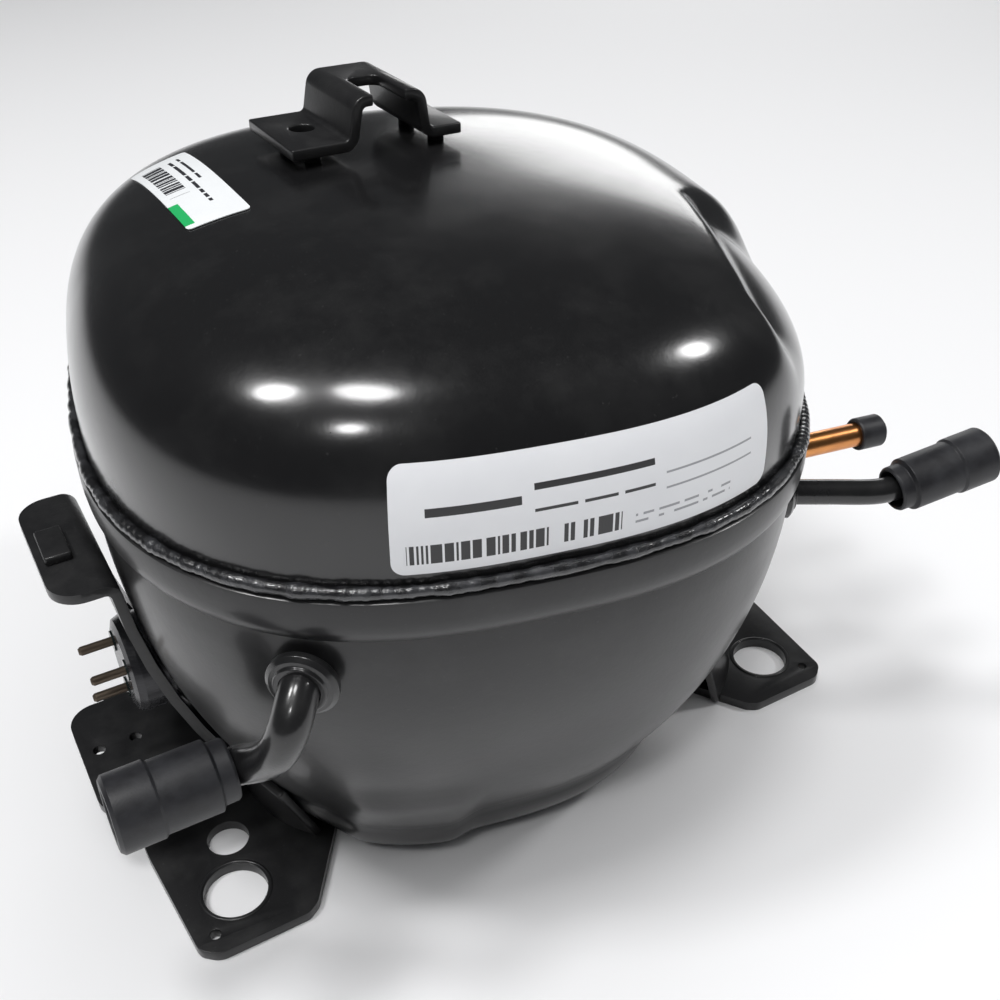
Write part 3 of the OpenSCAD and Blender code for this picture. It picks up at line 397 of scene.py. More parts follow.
DOME_Z = SEAM + 3.4
DOME_H = 44.0
DOME_P = 3.18
TOP = DOME_Z + DOME_H
RIDGE = [(-69, 54.5), (-61, 51.7), (-50, 52.3), (-33, 54.8), (-19, 57.0), (-11, 63.0)]


def dome_ring(f, thick=0.0):
    """A ring of the dome at an angle up its profile, in degrees."""
    f = math.radians(f)
    k = math.cos(f) ** (2 / DOME_P)
    return (
        (HALF_W - thick) * k,
        (HALF_L - thick) * k,
        DOME_Z + (DOME_H - thick) * math.sin(f) ** (2 / DOME_P),
    )


def hollow(x, y, z):
    """How deep the shoulder is pressed in at a point of the dome."""
    if x < 30 or z < DOME_Z:
        return 0.0
    window = rise(-78, -60, y) * (1 - rise(-24, -6, y))
    out = x - along(RIDGE, y)
    return 5.2 * window * rise(-1.5, 11, out) * rise(DOME_Z + 6, DOME_Z + 32, z)


dome_rings = [(HALF_W, HALF_L, SEAM - 7.6), (HALF_W, HALF_L, SEAM), (HALF_W, HALF_L, DOME_Z - 0.5)]
dome_rings += [dome_ring(f) for f in [0.4, 1.2, 2.5] + list(range(4, 88, 2)) + [88.5, 89.5]]
dome_rings += [(0, 0, TOP), (0, 0, TOP - 3)]
dome_rings += [dome_ring(f, 3) for f in range(85, 0, -10)]
dome_rings += [(HALF_W - 3, HALF_L - 3, SEAM), (HALF_W - 3, HALF_L - 3, SEAM - 7.6), dome_rings[0]]


def dome_point(u, v):
    """A point of the dome: u round it, v along its rings."""
    a, b, z = dome_rings[round(v * (len(dome_rings) - 1))]
    x, y = outline(a, b, 2 * math.pi * u)
    deep = hollow(x, y, z)
    return to_world(x - 0.75 * deep, y + 0.1 * deep, z - 0.6 * deep)


upper = closed(formed("upper_shell_skin", 288, len(dome_rings) - 1, dome_point))
gloss_black = enamel("black_enamel_dome", 0.16, 0.7, 0.009, 0.22)
fitted(upper, gloss_black, "housing", "black_enamel", "upper_shell")


# ---- Weld bead ------------------------------------------------------------
# The two shells are joined by one run of arc weld laid in the corner above the
# lip. It is rippled and lumpy, and the enamel over it pools and shines.

BEAD_WAVES = 260


def bead_point(u, v):
    """A point of the weld: u along the seam, v round its section."""
    turn, side = 2 * math.pi * u, 2 * math.pi * v
    place = to_world(*outline(HALF_W, HALF_L, turn), SEAM)
    lumps = noise.noise(place * 160) * 0.34 + noise.noise(place * 420) * 0.22
    step = (u * BEAD_WAVES) % 1.0
    ripple = 0.05 * math.sin(2 * math.pi * step) * (0.6 + noise.noise(place * 60))
    out = 1.05 + (1.25 + lumps + ripple) * math.cos(side)
    up = 1.35 + (1.30 + 0.8 * lumps + ripple) * math.sin(side)
    x, y = outline(HALF_W + out, HALF_L + out, turn)
    return to_world(x, y, SEAM + up)


bead = closed(formed("weld_run", 2080, 14, bead_point))
molten = Finish("enamelled_weld")
crust = molten.grain(700, 4.0, rough=0.7)
clots = molten.ramp(molten.grain(260, 2.0), (0.40, 0.0), (0.62, 1.0))
bead_look = molten.surface(
    Base_Color=molten.blend(clots, (0.012, 0.012, 0.013), (0.045, 0.046, 0.05)),
    Roughness=crust * 0.25 + 0.08,
    Metallic=0.15,
    Normal=molten.bump(crust, 0.8, 0.0004),
    Coat_Weight=0.8,
    Coat_Roughness=0.05,
)
fitted(bead, bead_look, "housing", "black_enamel", "weld_bead")


# ---- Feet -----------------------------------------------------------------
# Two pressed plates, 3 mm thick, welded under the bowl. Each has a grommet
# hole at both ends, and a skirt bent up from it lies against the wall.

FOOT_X = 85.0
FOOT_Y = 35.0
FOOT_T = 3.0


def rounded(corners):
    """Points round a shape whose corners are (x, y, radius)."""
    points = []
    count = len(corners)
    for i, (x, y, radius) in enumerate(corners):
        here = Vector((x, y))
        back = (Vector(corners[i - 1][:2]) - here).normalized()
        ahead = (Vector(corners[(i + 1) % count][:2]) - here).normalized()
        angle = back.angle(ahead)
        if radius <= 0 or angle > math.radians(176):
            points.append(here)
            continue
        reach = radius / math.tan(angle / 2)
        middle = here + (back + ahead).normalized() * (radius / math.sin(angle / 2))
        start, end = here + back * reach - middle, here + ahead * reach - middle
        first = math.atan2(start.y, start.x)
        swept = (math.atan2(end.y, end.x) - first + math.pi) % (2 * math.pi) - math.pi
        for k in range(9):
            turn = first + swept * k / 8
            points.append(middle + Vector((math.cos(turn), math.sin(turn))) * radius)
    return points


def plate(name, points, thick, to_place):
    """A flat shape cut from sheet: a circle primitive set out, then extruded."""
    bpy.ops.mesh.primitive_circle_add(vertices=len(points), radius=1, fill_type="NGON")
    piece = bpy.context.object
    piece.name = name
    for vertex, point in zip(piece.data.vertices, points):
        vertex.co = (point[0], point[1], 0)
    bpy.ops.object.mode_set(mode="EDIT")
    bpy.ops.mesh.select_all(action="SELECT")
    bpy.ops.mesh.extrude_region_move(TRANSFORM_OT_translate={"value": (0, 0, thick)})
    bpy.ops.mesh.select_all(action="SELECT")
    bpy.ops.mesh.normals_make_consistent(inside=False)
    bpy.ops.object.mode_set(mode="OBJECT")
    piece.data.transform(to_place)
    return piece


def drill(piece, at, radius, direction=(0, 0, 1), long=30.0, sides=48):
    """Cuts a round hole, centred at a point, all in millimetres."""
    turn = Vector(direction).to_track_quat("Z", "Y").to_matrix().to_4x4()
    bpy.ops.mesh.primitive_cylinder_add(vertices=sides, radius=radius * MM, depth=long * MM)
    cutter = bpy.context.object
    cutter.data.transform(Matrix.Translation(Vector(at) * MM) @ turn)
    cut_away(piece, cutter)


def cut_away(piece, cutter):
    """Takes one closed mesh out of another."""
    bpy.ops.object.select_all(action="DESELECT")
    piece.select_set(True)
    bpy.context.view_layer.objects.active = piece
    cut = piece.modifiers.new("cut", "BOOLEAN")
    cut.operation = "DIFFERENCE"
    cut.solver = "EXACT"
    cut.object = cutter
    bpy.ops.object.modifier_apply(modifier=cut.name)
    bpy.data.objects.remove(cutter)


def eased(piece, width=0.5, segments=3, angle=40):
    """Rounds every sharp edge, as tumbling and paint do."""
    bpy.ops.object.select_all(action="DESELECT")
    piece.select_set(True)
    bpy.context.view_layer.objects.active = piece
    round_off = piece.modifiers.new("edges", "BEVEL")
    round_off.width = width * MM
    round_off.segments = segments
    round_off.limit_method = "ANGLE"
    round_off.angle_limit = math.radians(angle)
    bpy.ops.object.modifier_apply(modifier=round_off.name)
    return piece


def joined(name, pieces):
    """Several meshes as one piece."""
    bpy.ops.object.select_all(action="DESELECT")
    for piece in pieces:
        piece.select_set(True)
    bpy.context.view_layer.objects.active = pieces[0]
    bpy.ops.object.join()
    pieces[0].name = name
    return pieces[0]


def sheet_strip(name, low, high, thick, steps=40):
    """A curved skirt between two lines of points, given a thickness inwards."""
    def at(u, v):
        place = u * (len(low) - 1)
        i = min(len(low) - 2, int(place))
        k = place - i
        return low[i].lerp(low[i + 1], k).lerp(high[i].lerp(high[i + 1], k), v)

    skirt = formed(name, steps, 10, at)
    wall_of = skirt.modifiers.new("thick", "SOLIDIFY")
    wall_of.thickness = thick * MM
    wall_of.offset = 0
    bpy.ops.object.modifier_apply(modifier=wall_of.name)
    return skirt


def flowing(points, steps):
    """A smooth run of points through a few given ones."""
    made = []
    last = len(points) - 1
    for i in range(last):
        p0, p1, p2, p3 = points[max(0, i - 1)], points[i], points[i + 1], points[min(last, i + 2)]
        for s in range(steps):
            t = s / steps
            made.append(0.5 * (2 * p1 + (p2 - p0) * t + (2 * p0 - 5 * p1 + 4 * p2 - p3) * t ** 2
                               + (3 * p1 - 3 * p2 + p3 - p0) * t ** 3))
    made.append(points[last])
    return made


FOOT_HALF = [
    (101, -14, 20), (98.5, -47, 4), (94.5, -50.5, 5), (71.5, -50.5, 4), (68.5, -48.6, 4),
    (54, -27, 6), (48, -16, 4),
]
SKIRTS = {
    "left": [(-59, -29), (-65, -21), (-68.5, -11), (-69.5, 0), (-68.5, 11), (-65, 21), (-59, 29)],
    "right": [(62, -42), (72, -35), (78, -26), (80, 0), (78, 26), (72, 35), (62, 42)],
}
foot_paint = enamel("black_enamel_feet", 0.30, 0.35, 0.014, 0.4, 0.8)
for side, sign, top_z, spread, node in [
    ("left", -1, 22, 26, "foot_left"),
    ("right", 1, 34, 34, "foot_right"),
]:
    half = [(x * sign, y, r) for x, y, r in FOOT_HALF]
    corners = half + [(x, -y, r) for x, y, r in reversed(half)]
    foot = plate(node + "_plate", rounded(corners), FOOT_T, Matrix.Scale(MM, 4))
    for way in (-1, 1):
        drill(foot, (sign * FOOT_X, way * FOOT_Y, 1), 8, sides=72)
        drill(foot, (sign * 93.6, way * 44.8, 1), 1.4, sides=24)
        if sign < 0:
            drill(foot, (-81.3, way * 18.6, 1), 5.4)
    eased(foot, 0.7)
    # rolled rims round the grommet holes
    rims = []
    for way in (-1, 1):
        bpy.ops.mesh.primitive_torus_add(
            major_radius=8.7 * MM, minor_radius=0.6 * MM, major_segments=72, minor_segments=12,
            location=(0, 0, 0),
        )
        rim = bpy.context.object
        rim.data.transform(Matrix.Translation(Vector((sign * FOOT_X, way * FOOT_Y, 2.7)) * MM))
        rims.append(rim)
    low = [Vector((x, y, 1.0)) * MM for x, y in SKIRTS[side]]
    high = []
    for i in range(7):
        swing = math.radians(spread * (i / 3 - 1))
        turn = math.pi - TURN - swing if sign < 0 else swing - TURN
        a, b = wall(top_z)
        high.append(to_world(*outline(a + 1.7, b + 1.7, turn), top_z))
    skirt = eased(sheet_strip(node + "_skirt", flowing(low, 4), flowing(high, 4), 2.4), 0.5)
    foot = joined(node + "_pressing", [foot, skirt] + rims)
    fitted(foot, foot_paint, "housing", "black_enamel", node)


# ---- Top bracket ----------------------------------------------------------
# A hat of bent strip welded to the dome, with a slot cut through its crown. A
# cover or a wiring clip hooks on to it.

HAT_Z = TOP + 2.0
HAT_T = 2.6
HAT_UP = 9.5
HAT_WIDE = 28
HAT_FAR_EDGE = 46
HAT_HOLE_R = 3.0


def bent_strip(name, line, thick, width, bend=2.6):
    """Strip bent along a line of (a, b) points, lying in a plane, width across."""
    bends = [(a, b, bend) for a, b in line[1:-1]]
    middle = rounded([(*line[0], 0)] + bends + [(*line[-1], 0)])
    sides = []
    for i, here in enumerate(middle):
        ahead = (middle[min(i + 1, len(middle) - 1)] - middle[max(i - 1, 0)]).normalized()
        sides.append(Vector((-ahead.y, ahead.x)) * (thick / 2))
    shape = [m + s for m, s in zip(middle, sides)] + [m - s for m, s in zip(middle, sides)][::-1]
    return plate(name, shape, width, Matrix.Scale(MM, 4))


hat_mid = HAT_Z + HAT_T / 2
strip = bent_strip(
    "top_strip",
    [
        (-31, hat_mid), (-16, hat_mid), (-14, hat_mid + HAT_UP),
        (1.5, hat_mid + HAT_UP), (2.8, hat_mid), (12, hat_mid),
    ],
    HAT_T, HAT_WIDE,
)
strip.data.transform(
    Matrix.Translation((0, HAT_FAR_EDGE * MM, 0)) @ Matrix.Rotation(math.radians(90), 4, "X")
)
drill(strip, (-22.5, 33, HAT_Z), HAT_HOLE_R)
bpy.ops.mesh.primitive_cube_add(size=1)
slot_cut = bpy.context.object
slot_cut.data.transform(
    Matrix.Translation(Vector((-6.4, 24, HAT_Z + 14)) * MM)
    @ Matrix.Diagonal((8 * MM, 20 * MM, 20 * MM, 1))
)
eased(slot_cut, 2.5, 5, 30)
cut_away(strip, slot_cut)
eased(strip, 0.5)
posts = []
for x, y in [(-24, 41), (8, 24), (8, 40), (-24, 24)]:
    bpy.ops.mesh.primitive_cylinder_add(vertices=24, radius=2 * MM, depth=4 * MM)
    post = bpy.context.object
    post.data.transform(Matrix.Translation(Vector((x, y, HAT_Z - 1.0)) * MM))
    posts.append(post)
strip = joined("top_bracket_strip", [strip] + posts)
bracket_paint = enamel("black_enamel_brackets", 0.32, 0.3, 0.012, 0.5, 0.7)
fitted(strip, bracket_paint, "housing", "black_enamel", "top_bracket")


# ---- Terminal bracket -----------------------------------------------------
# A channel of bent sheet spot-welded to the side of the bowl. Its ear and its
# shelf hold the terminal cover, and its web has a hole for the cup.

EAR_Z = SEAM - 24
SHELF_Z = 25.0
SHEET = 2.4
EAR_TIP = -106.6
SHELF_TIP = -108.6
CHANNEL_WIDE = 41
CHANNEL_MIDDLE = 3.5
CORNER = 7.0


def leftmost(z):
    """The least X of the bowl at a height."""
    a, b = wall(z)
    return min(to_world(*outline(a, b, math.radians(d)), z).x for d in range(120, 240, 3)) / MM


web = [(leftmost(z) - 2.4, z) for z in (EAR_Z, 78, 66, 54, 42, 32, SHELF_Z)]
channel = bent_strip(
    "terminal_channel",
    [(EAR_TIP, EAR_Z + SHEET / 2), (web[0][0], EAR_Z + SHEET / 2)] + web[1:-1]
    + [(web[-1][0], SHELF_Z - SHEET / 2), (SHELF_TIP, SHELF_Z - SHEET / 2)],
    SHEET, CHANNEL_WIDE,
)
far_edge = CHANNEL_MIDDLE + CHANNEL_WIDE / 2
channel.data.transform(
    Matrix.Translation((0, far_edge * MM, 0)) @ Matrix.Rotation(math.radians(90), 4, "X")
)
drill(channel, (-90, 2, 53.3), 14.3, (1, 0, 0), 60, 72)
for x, y in [(-104.0, 6.5), (-94.6, 6.5)]:
    drill(channel, (x, y, SHELF_Z), 1.6, long=12, sides=32)
# the free corners of the ear and the shelf are rounded off
for x, z in [(EAR_TIP, EAR_Z), (SHELF_TIP, SHELF_Z)]:
    for way in (-1, 1):
        edge = CHANNEL_MIDDLE + way * CHANNEL_WIDE / 2
        hub = Vector((x + CORNER, edge - way * CORNER))
        spare = [Vector((hub.x, edge + way * 2))]
        for k in range(11):
            turn = math.radians(9 * k)
            spare.append(hub + CORNER * Vector((-math.sin(turn), way * math.cos(turn))))
        spare += [Vector((x - 2, hub.y)), Vector((x - 2, edge + way * 2))]
        if way < 0:
            spare.reverse()
        place = Matrix.Scale(MM, 4) @ Matrix.Translation((0, 0, z - 5))
        cut_away(channel, plate("corner_waste", spare, 10, place))
eased(channel, 0.6)
bpy.ops.mesh.primitive_cube_add(size=1)
tab = bpy.context.object
tab.data.transform(
    Matrix.Translation(Vector((-102, 2.5, EAR_Z + SHEET + 1.0)) * MM)
    @ Matrix.Diagonal((6 * MM, 12 * MM, 2.2 * MM, 1))
)
eased(tab, 0.6)
channel = joined("terminal_bracket_channel", [channel, tab])
fitted(channel, bracket_paint, "housing", "black_enamel", "terminal_bracket")


# ---- Terminal cup ---------------------------------------------------------
# A stamped steel cup resistance-welded into the bowl's side. Three pins pass
# through it, each fused in a bead of glass.

steel = Finish("stamped_steel")
scuff = steel.grain(500, 3.0, stretch=(1, 1, 6))
cup_look = steel.surface(
    Base_Color=steel.blend(scuff, (0.016, 0.016, 0.018), (0.05, 0.05, 0.055)),
    Metallic=0.3,
    Roughness=scuff * 0.15 + 0.16,
    Normal=steel.bump(scuff, 0.3, 0.0001),
)


def turned(name, profile, at, direction, sides=72):
    """A turned or moulded piece: (radius, distance) points spun on an axis."""
    turn = Vector(direction).to_track_quat("Z", "Y").to_matrix()

    def at_point(u, v):
        radius, far = profile[round(v * (len(profile) - 1))]
        angle = 2 * math.pi * u
        flat = Vector((radius * math.cos(angle), radius * math.sin(angle), far))
        return (Vector(at) + turn @ flat) * MM

    return closed(formed(name, sides, len(profile) - 1, at_point))


def softened(profile, radius=0.4):
    """A profile with its corners rounded off."""
    flat = rounded([(r, z, radius if 0 < i < len(profile) - 1 else 0)
                    for i, (r, z) in enumerate(profile)])
    return [(max(0.0, p.x), p.y) for p in flat]


wear(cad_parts["terminal_cup"], cup_look)
seal = Finish("fused_glass")
flecks = seal.grain(1500, 2.0)
seal_look = seal.surface(
    Base_Color=seal.blend(flecks, (0.008, 0.014, 0.013), (0.020, 0.032, 0.030)),
    Roughness=flecks * 0.1 + 0.08,
    Normal=seal.bump(flecks, 0.2, 0.0001),
)
wear(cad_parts["glass_seals"], seal_look)
pin = Finish("dull_pin_plating")
tarnish = pin.grain(900, 3.0, stretch=(0.3, 1, 1))
pin_look = pin.surface(
    Base_Color=pin.blend(tarnish, (0.075, 0.055, 0.040), (0.16, 0.13, 0.10)),
    Metallic=0.75,
    Roughness=tarnish * 0.25 + 0.35,
    Normal=pin.bump(tarnish, 0.3, 0.0001),
)
wear(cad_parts["terminal_pins"], pin_look)


# ---- Pipe collars and pipes -----------------------------------------------
# Three steel stubs pass through the bowl in brazed collars: process, suction
# and discharge. Two are painted with the shell and the third is bare copper.

PIPE_R = 3.2
PROCESS_R = 4.1
PIPE_WALL = 0.9


def wall_point(x_share, y_share, z):
    """A point on the bowl's wall from its shares of the half widths."""
    a, b = wall(z)
    return Vector((a * x_share, b * y_share, z))


def heading(degrees):
    """A level direction, given in the shell's own axes."""
    turn = math.radians(degrees) + TURN
    return Vector((math.cos(turn), math.sin(turn), 0))


PIPE_Z = SEAM - 27.5
roots = {
    "process": (wall_point(-0.565, -0.905, SEAM - 20), heading(-119)),
    "suction": (wall_point(0.927, -0.508, PIPE_Z), heading(-18.5)),
    "discharge": (wall_point(0.975, -0.32, PIPE_Z - 1), heading(3)),
}
roots = {k: (to_world(*p) / MM, d) for k, (p, d) in roots.items()}

collar_paint = enamel("black_enamel_pipes", 0.22, 0.6, 0.010, 0.5, 0.5)
for which, (root, away) in roots.items():
    bore = PROCESS_R if which == "process" else PIPE_R
    ring = softened([
        (bore + 0.2, -1.0), (bore + 1.0, -1.0), (bore + 1.0, 0.0), (bore + 3.3, 1.6),
        (bore + 3.35, 3.0), (bore + 2.4, 3.8), (bore + 1.5, 3.9), (bore + 1.3, 4.6),
        (bore + 0.2, 4.6),
    ], 0.35)
    ring.append(ring[0])
    collar = turned(which + "_collar_ring", ring, root, away)
    fitted(collar, collar_paint, "housing", "black_enamel", which + "_collar")


def tube(name, route, outer, inner, sides=40):
    """A drawn tube along a route in millimetres, open at its far end."""
    count = len(route)
    ways = [(route[min(i + 1, count - 1)] - route[max(i - 1, 0)]).normalized() for i in range(count)]
    up = Vector((0, 0, 1))
    frames = []
    for way in ways:
        up = (up - way * up.dot(way)).normalized()
        frames.append((up.copy(), way.cross(up)))
    # outside along the route, then over the mouth and back down the bore
    rings = [(i, outer) for i in range(count)] + [(count - 1, inner), (max(0, count - 8), inner)]
    rings.append((max(0, count - 8), 0.0))
    rings.insert(0, (0, 0.0))

    def at(u, v):
        i, radius = rings[round(v * (len(rings) - 1))]
        one, two = frames[i]
        angle = 2 * math.pi * u
        return (route[i] + (one * math.cos(angle) + two * math.sin(angle)) * radius) * MM

    return closed(formed(name, sides, len(rings) - 1, at))


def from_root(which, *steps):
    """A route from steps (along the exit, then x, y, z) at a pipe's root."""
    root, away = roots[which]
    return [root + away * s[0] + Vector(s[1:]) for s in steps]


process_route = from_root(
    "process", (-6, 0, 0, 0), (2, 0, 0, 0), (5, 0, 0, 0), (0, -6.6, -7.2, -3.4),
    (0, -8.8, -6.4, -9), (0, -10.4, -3, -14.4), (0, -12.4, 1.4, -18.9), (0, -14.7, 4.5, -21.2),
    (0, -17.5, 5, -21.6), (0, -20.5, 5, -21.6), (0, -27, 5, -21.6),
)
suction_route = from_root(
    "suction", (-6, 0, 0, 0), (3, 0, 0, 0), (14, 0, 0, 0), (26, 0, 0.4, 0),
    (36, 0, 3.2, 1.2), (43, 0, 5.6, 2.4),
)
discharge_route = from_root("discharge", (-6, 0, 0, 0), (10, 0, 0, 0), (24, 0, 0, 0), (37, 0, 0, 0))
for which, route, bore in [
    ("process", process_route, PROCESS_R),
    ("suction", suction_route, PIPE_R),
]:
    pipe = tube(which + "_pipe_tube", flowing(route, 8), bore, bore - PIPE_WALL)
    fitted(pipe, collar_paint, "housing", "black_enamel", which + "_pipe")
copper = Finish("drawn_copper")
drawn = copper.grain(1200, 3.0, stretch=(0.06, 1, 1))
bloom = copper.ramp(copper.grain(120, 3.0), (0.35, 0.0), (0.75, 1.0))
copper_look = copper.surface(
    Base_Color=copper.blend(bloom, (0.80, 0.36, 0.12), (0.62, 0.26, 0.10)),
    Metallic=1.0,
    Roughness=drawn * 0.15 + 0.20 + bloom * 0.08,
    Normal=copper.bump(drawn, 0.25, 0.0001),
)
copper_line = flowing(discharge_route, 10)
pipe = tube("discharge_pipe_tube", copper_line, PIPE_R, PIPE_R - PIPE_WALL)
fitted(pipe, copper_look, "housing", "copper", "discharge_pipe")


# ---- Rubber caps ----------------------------------------------------------
# Moulded black rubber plugs pushed over the pipe ends to keep the charge of
# dry gas in. Each has a stepped body and moulded recesses in its end.

rubber = Finish("moulded_rubber")
bloomed = rubber.ramp(rubber.grain(160, 4.0, rough=0.6), (0.4, 0.0), (0.8, 1.0))
pores = rubber.grain(2600, 2.0)
rubber_look = rubber.surface(
    Base_Color=rubber.blend(bloomed, (0.014, 0.014, 0.016), (0.030, 0.031, 0.035)),
    Roughness=bloomed * 0.12 + 0.42,
    Normal=rubber.bump(pores, 0.25, 0.0001),
    Specular_IOR_Level=0.45,
)
CAP_IN = 12.0


def long_cap(long, bore):
    """The profile of a long cap, mouth first, closed end last."""
    inner, outer = bore + 0.1, bore + 3.5
    return softened([
        (0, CAP_IN + 0.5), (inner, CAP_IN + 0.5), (inner, 7), (inner + 1.5, 6), (inner + 1.5, 0),
        (outer - 1.4, 0), (outer - 1, 0.6), (outer - 1, 3.4), (outer, 4), (outer, long * 0.62),
        (outer + 0.5, long * 0.62 + 0.6), (outer + 0.5, long - 0.8), (outer - 0.3, long),
        (outer - 2.4, long), (outer - 2.8, long - 1.4), (0, long - 1.4),
    ], 0.3)


tip = (suction_route[5] - suction_route[4]).normalized()
process_mouth = process_route[-1] + Vector((CAP_IN - 1.5, 0, 0))
copper_out = roots["discharge"][1]
small_cap = softened([
    (0, 6.3), (3.26, 6.3), (3.26, 0), (4.1, 0), (4.4, 0.5), (4.4, 7.0), (3.0, 8.2), (0, 8.2),
], 0.3)
caps = [
    ("process_cap", process_mouth, Vector((-1, 0, 0)), long_cap(24.5, PROCESS_R)),
    ("suction_cap", suction_route[-1] - tip * CAP_IN, tip, long_cap(27, PIPE_R)),
    ("discharge_cap", discharge_route[-1] - copper_out * 6, copper_out, small_cap),
]
for node, mouth, away, profile in caps:
    cap = turned(node + "_plug", profile, mouth, away)
    fitted(cap, rubber_look, node, "cap_rubber", node)


# ---- Labels ---------------------------------------------------------------
# Printed white film stuck to the dome: a wide rating label on the front wall,
# and a stock label on the left shoulder. Both carry bars and blank rules only.


def film(name, across, down, size, corner, shape, thick=0.16):
    """Film cut with round corners; shape takes millimetres across and up."""
    wide, tall = size
    bpy.ops.mesh.primitive_grid_add(x_subdivisions=across, y_subdivisions=down, size=2)
    piece = bpy.context.object
    piece.name = name
    flat = []
    for vertex in piece.data.vertices:
        u, v = (vertex.co.x + 1) / 2, (vertex.co.y + 1) / 2
        # more columns near the two ends, where the corners turn
        s = wide * (0.5 - 0.5 * math.cos(math.pi * u))
        inset = max(0.0, corner - min(s, wide - s))
        half = tall / 2 - corner + math.sqrt(max(0.0, corner ** 2 - inset ** 2))
        flat.append((s, tall / 2 + half * (2 * v - 1)))
    for loop in piece.data.loops:
        s, t = flat[loop.vertex_index]
        piece.data.uv_layers.active.data[loop.index].uv = (s / wide, t / tall)
    for vertex, (s, t) in zip(piece.data.vertices, flat):
        vertex.co = shape(s, t)
    film_of = piece.modifiers.new("thick", "SOLIDIFY")
    film_of.thickness = thick * MM
    film_of.offset = 1
    bpy.ops.object.modifier_apply(modifier=film_of.name)
    return piece


class Print:
    """Marks printed on a film, in shares of its width and height."""

    def __init__(self, finish):
        self.finish = finish
        self.across, self.up, _ = finish.split(finish.place("UV"))

    def box(self, left, right, low, high):
        """1 inside an upright box."""
        return (self.across > left) * (self.across < right) * (self.up > low) * (self.up < high)

    def bars(self, count, seed, fill=0.5):
        """Upright bars of uneven width."""
        step = self.finish.node(
            "ShaderNodeMath", {"operation": "FLOOR"}, {0: self.across * count}
        )
        draw = self.finish.node(
            "ShaderNodeTexWhiteNoise", {"noise_dimensions": "1D"}, {"W": step + seed}
        )
        return draw < fill

    def dashes(self, count, seed, fill=0.72):
        """A ruled line broken like words."""
        return self.bars(count, seed, fill)


def either(*masks):
    """1 where any of the masks is."""
    total = masks[0]
    for mask in masks[1:]:
        total = total.maths("MAXIMUM", total, mask)
    return total


def dome_share(z):
    """How far the dome has drawn in at a height."""
    return (1 - (max(0.0, z - DOME_Z) / DOME_H) ** DOME_P) ** (1 / DOME_P)


# lengths along the wall, so that the film isn't stretched
LABEL_FROM, LABEL_TO = -106.0, -59.5
ARC_STEPS = 200
arc = [0.0]
for i in range(ARC_STEPS):
    ends = []
    for k in (i, i + 1):
        turn = math.radians(LABEL_FROM + (LABEL_TO - LABEL_FROM) * k / ARC_STEPS)
        ends.append(Vector(outline(HALF_W, HALF_L, turn)))
    arc.append(arc[-1] + (ends[1] - ends[0]).length)
LABEL_W, LABEL_H = arc[-1], 21.5


def label_turn(s):
    """The angle round the plan at a length along the label."""
    i = min(199, max(0, sum(1 for a in arc if a <= s) - 1))
    k = (s - arc[i]) / (arc[i + 1] - arc[i])
    return math.radians(LABEL_FROM + (LABEL_TO - LABEL_FROM) * (i + k) / ARC_STEPS)


def on_wall(s, t):
    """A point just proud of the dome's wall."""
    z = SEAM + 4.6 + t
    k = dome_share(z)
    return to_world(*outline(HALF_W * k + 0.12, HALF_L * k + 0.12, label_turn(s)), z)


rating = film("rating_film", 96, 20, (LABEL_W, LABEL_H), 2.6, on_wall)
ink = Finish("rating_print")
mark = Print(ink)
black_ink = either(
    mark.box(0.035, 0.545, 0.10, 0.29) * mark.bars(190, 3, 0.55),
    mark.box(0.33, 0.63, 0.66, 0.72),
    mark.box(0.33, 0.63, 0.46, 0.49) * mark.dashes(60, 11),
    mark.box(0.08, 0.30, 0.55, 0.63) * mark.dashes(22, 7, 0.8),
)
grey_ink = either(
    mark.box(0.58, 0.86, 0.20, 0.225) * mark.dashes(70, 21),
    mark.box(0.58, 0.86, 0.13, 0.155) * mark.dashes(70, 31),
    mark.box(0.66, 0.93, 0.40, 0.42),
    mark.box(0.66, 0.93, 0.55, 0.57),
)
scuffs = ink.grain(90, 3.0)
tone = ink.blend(scuffs, (0.80, 0.81, 0.84), (0.88, 0.89, 0.91))
tone = ink.blend(grey_ink, tone, (0.32, 0.33, 0.35))
tone = ink.blend(black_ink, tone, (0.02, 0.02, 0.022))
rating_look = ink.surface(
    Base_Color=tone,
    Roughness=scuffs * 0.12 + 0.28,
    Normal=ink.bump(ink.grain(700, 2.0), 0.08, 0.0001),
    Coat_Weight=0.15,
)
fitted(rating, rating_look, "housing", "label_film", "rating_label")


def dome_height(x, y):
    """Height of the dome over a point in its own axes."""
    q = (abs(x) / HALF_W) ** SQUARE + (abs(y) / HALF_L) ** SQUARE
    return DOME_Z + DOME_H * max(0.0, 1 - q ** (DOME_P / SQUARE)) ** (1 / DOME_P)


STOCK_MIDDLE = (-52.2, 31.5)
STOCK_SIZE = (54.0, 14.0)
STOCK_TURN = -2.0


def on_shoulder(s, t):
    """A point just proud of the left shoulder; s runs along it, t outwards."""
    c, sn = math.cos(math.radians(STOCK_TURN)), math.sin(math.radians(STOCK_TURN))
    down = t - STOCK_SIZE[1] / 2
    far = s - STOCK_SIZE[0] / 2
    x = STOCK_MIDDLE[0] + down * c + far * sn
    y = STOCK_MIDDLE[1] + down * sn - far * c
    dx, dy = x - CENTRE.x, y - CENTRE.y
    c, sn = math.cos(TURN), math.sin(TURN)
    z = dome_height(dx * c + dy * sn, -dx * sn + dy * c)
    return Vector((x, y, z + 0.15)) * MM


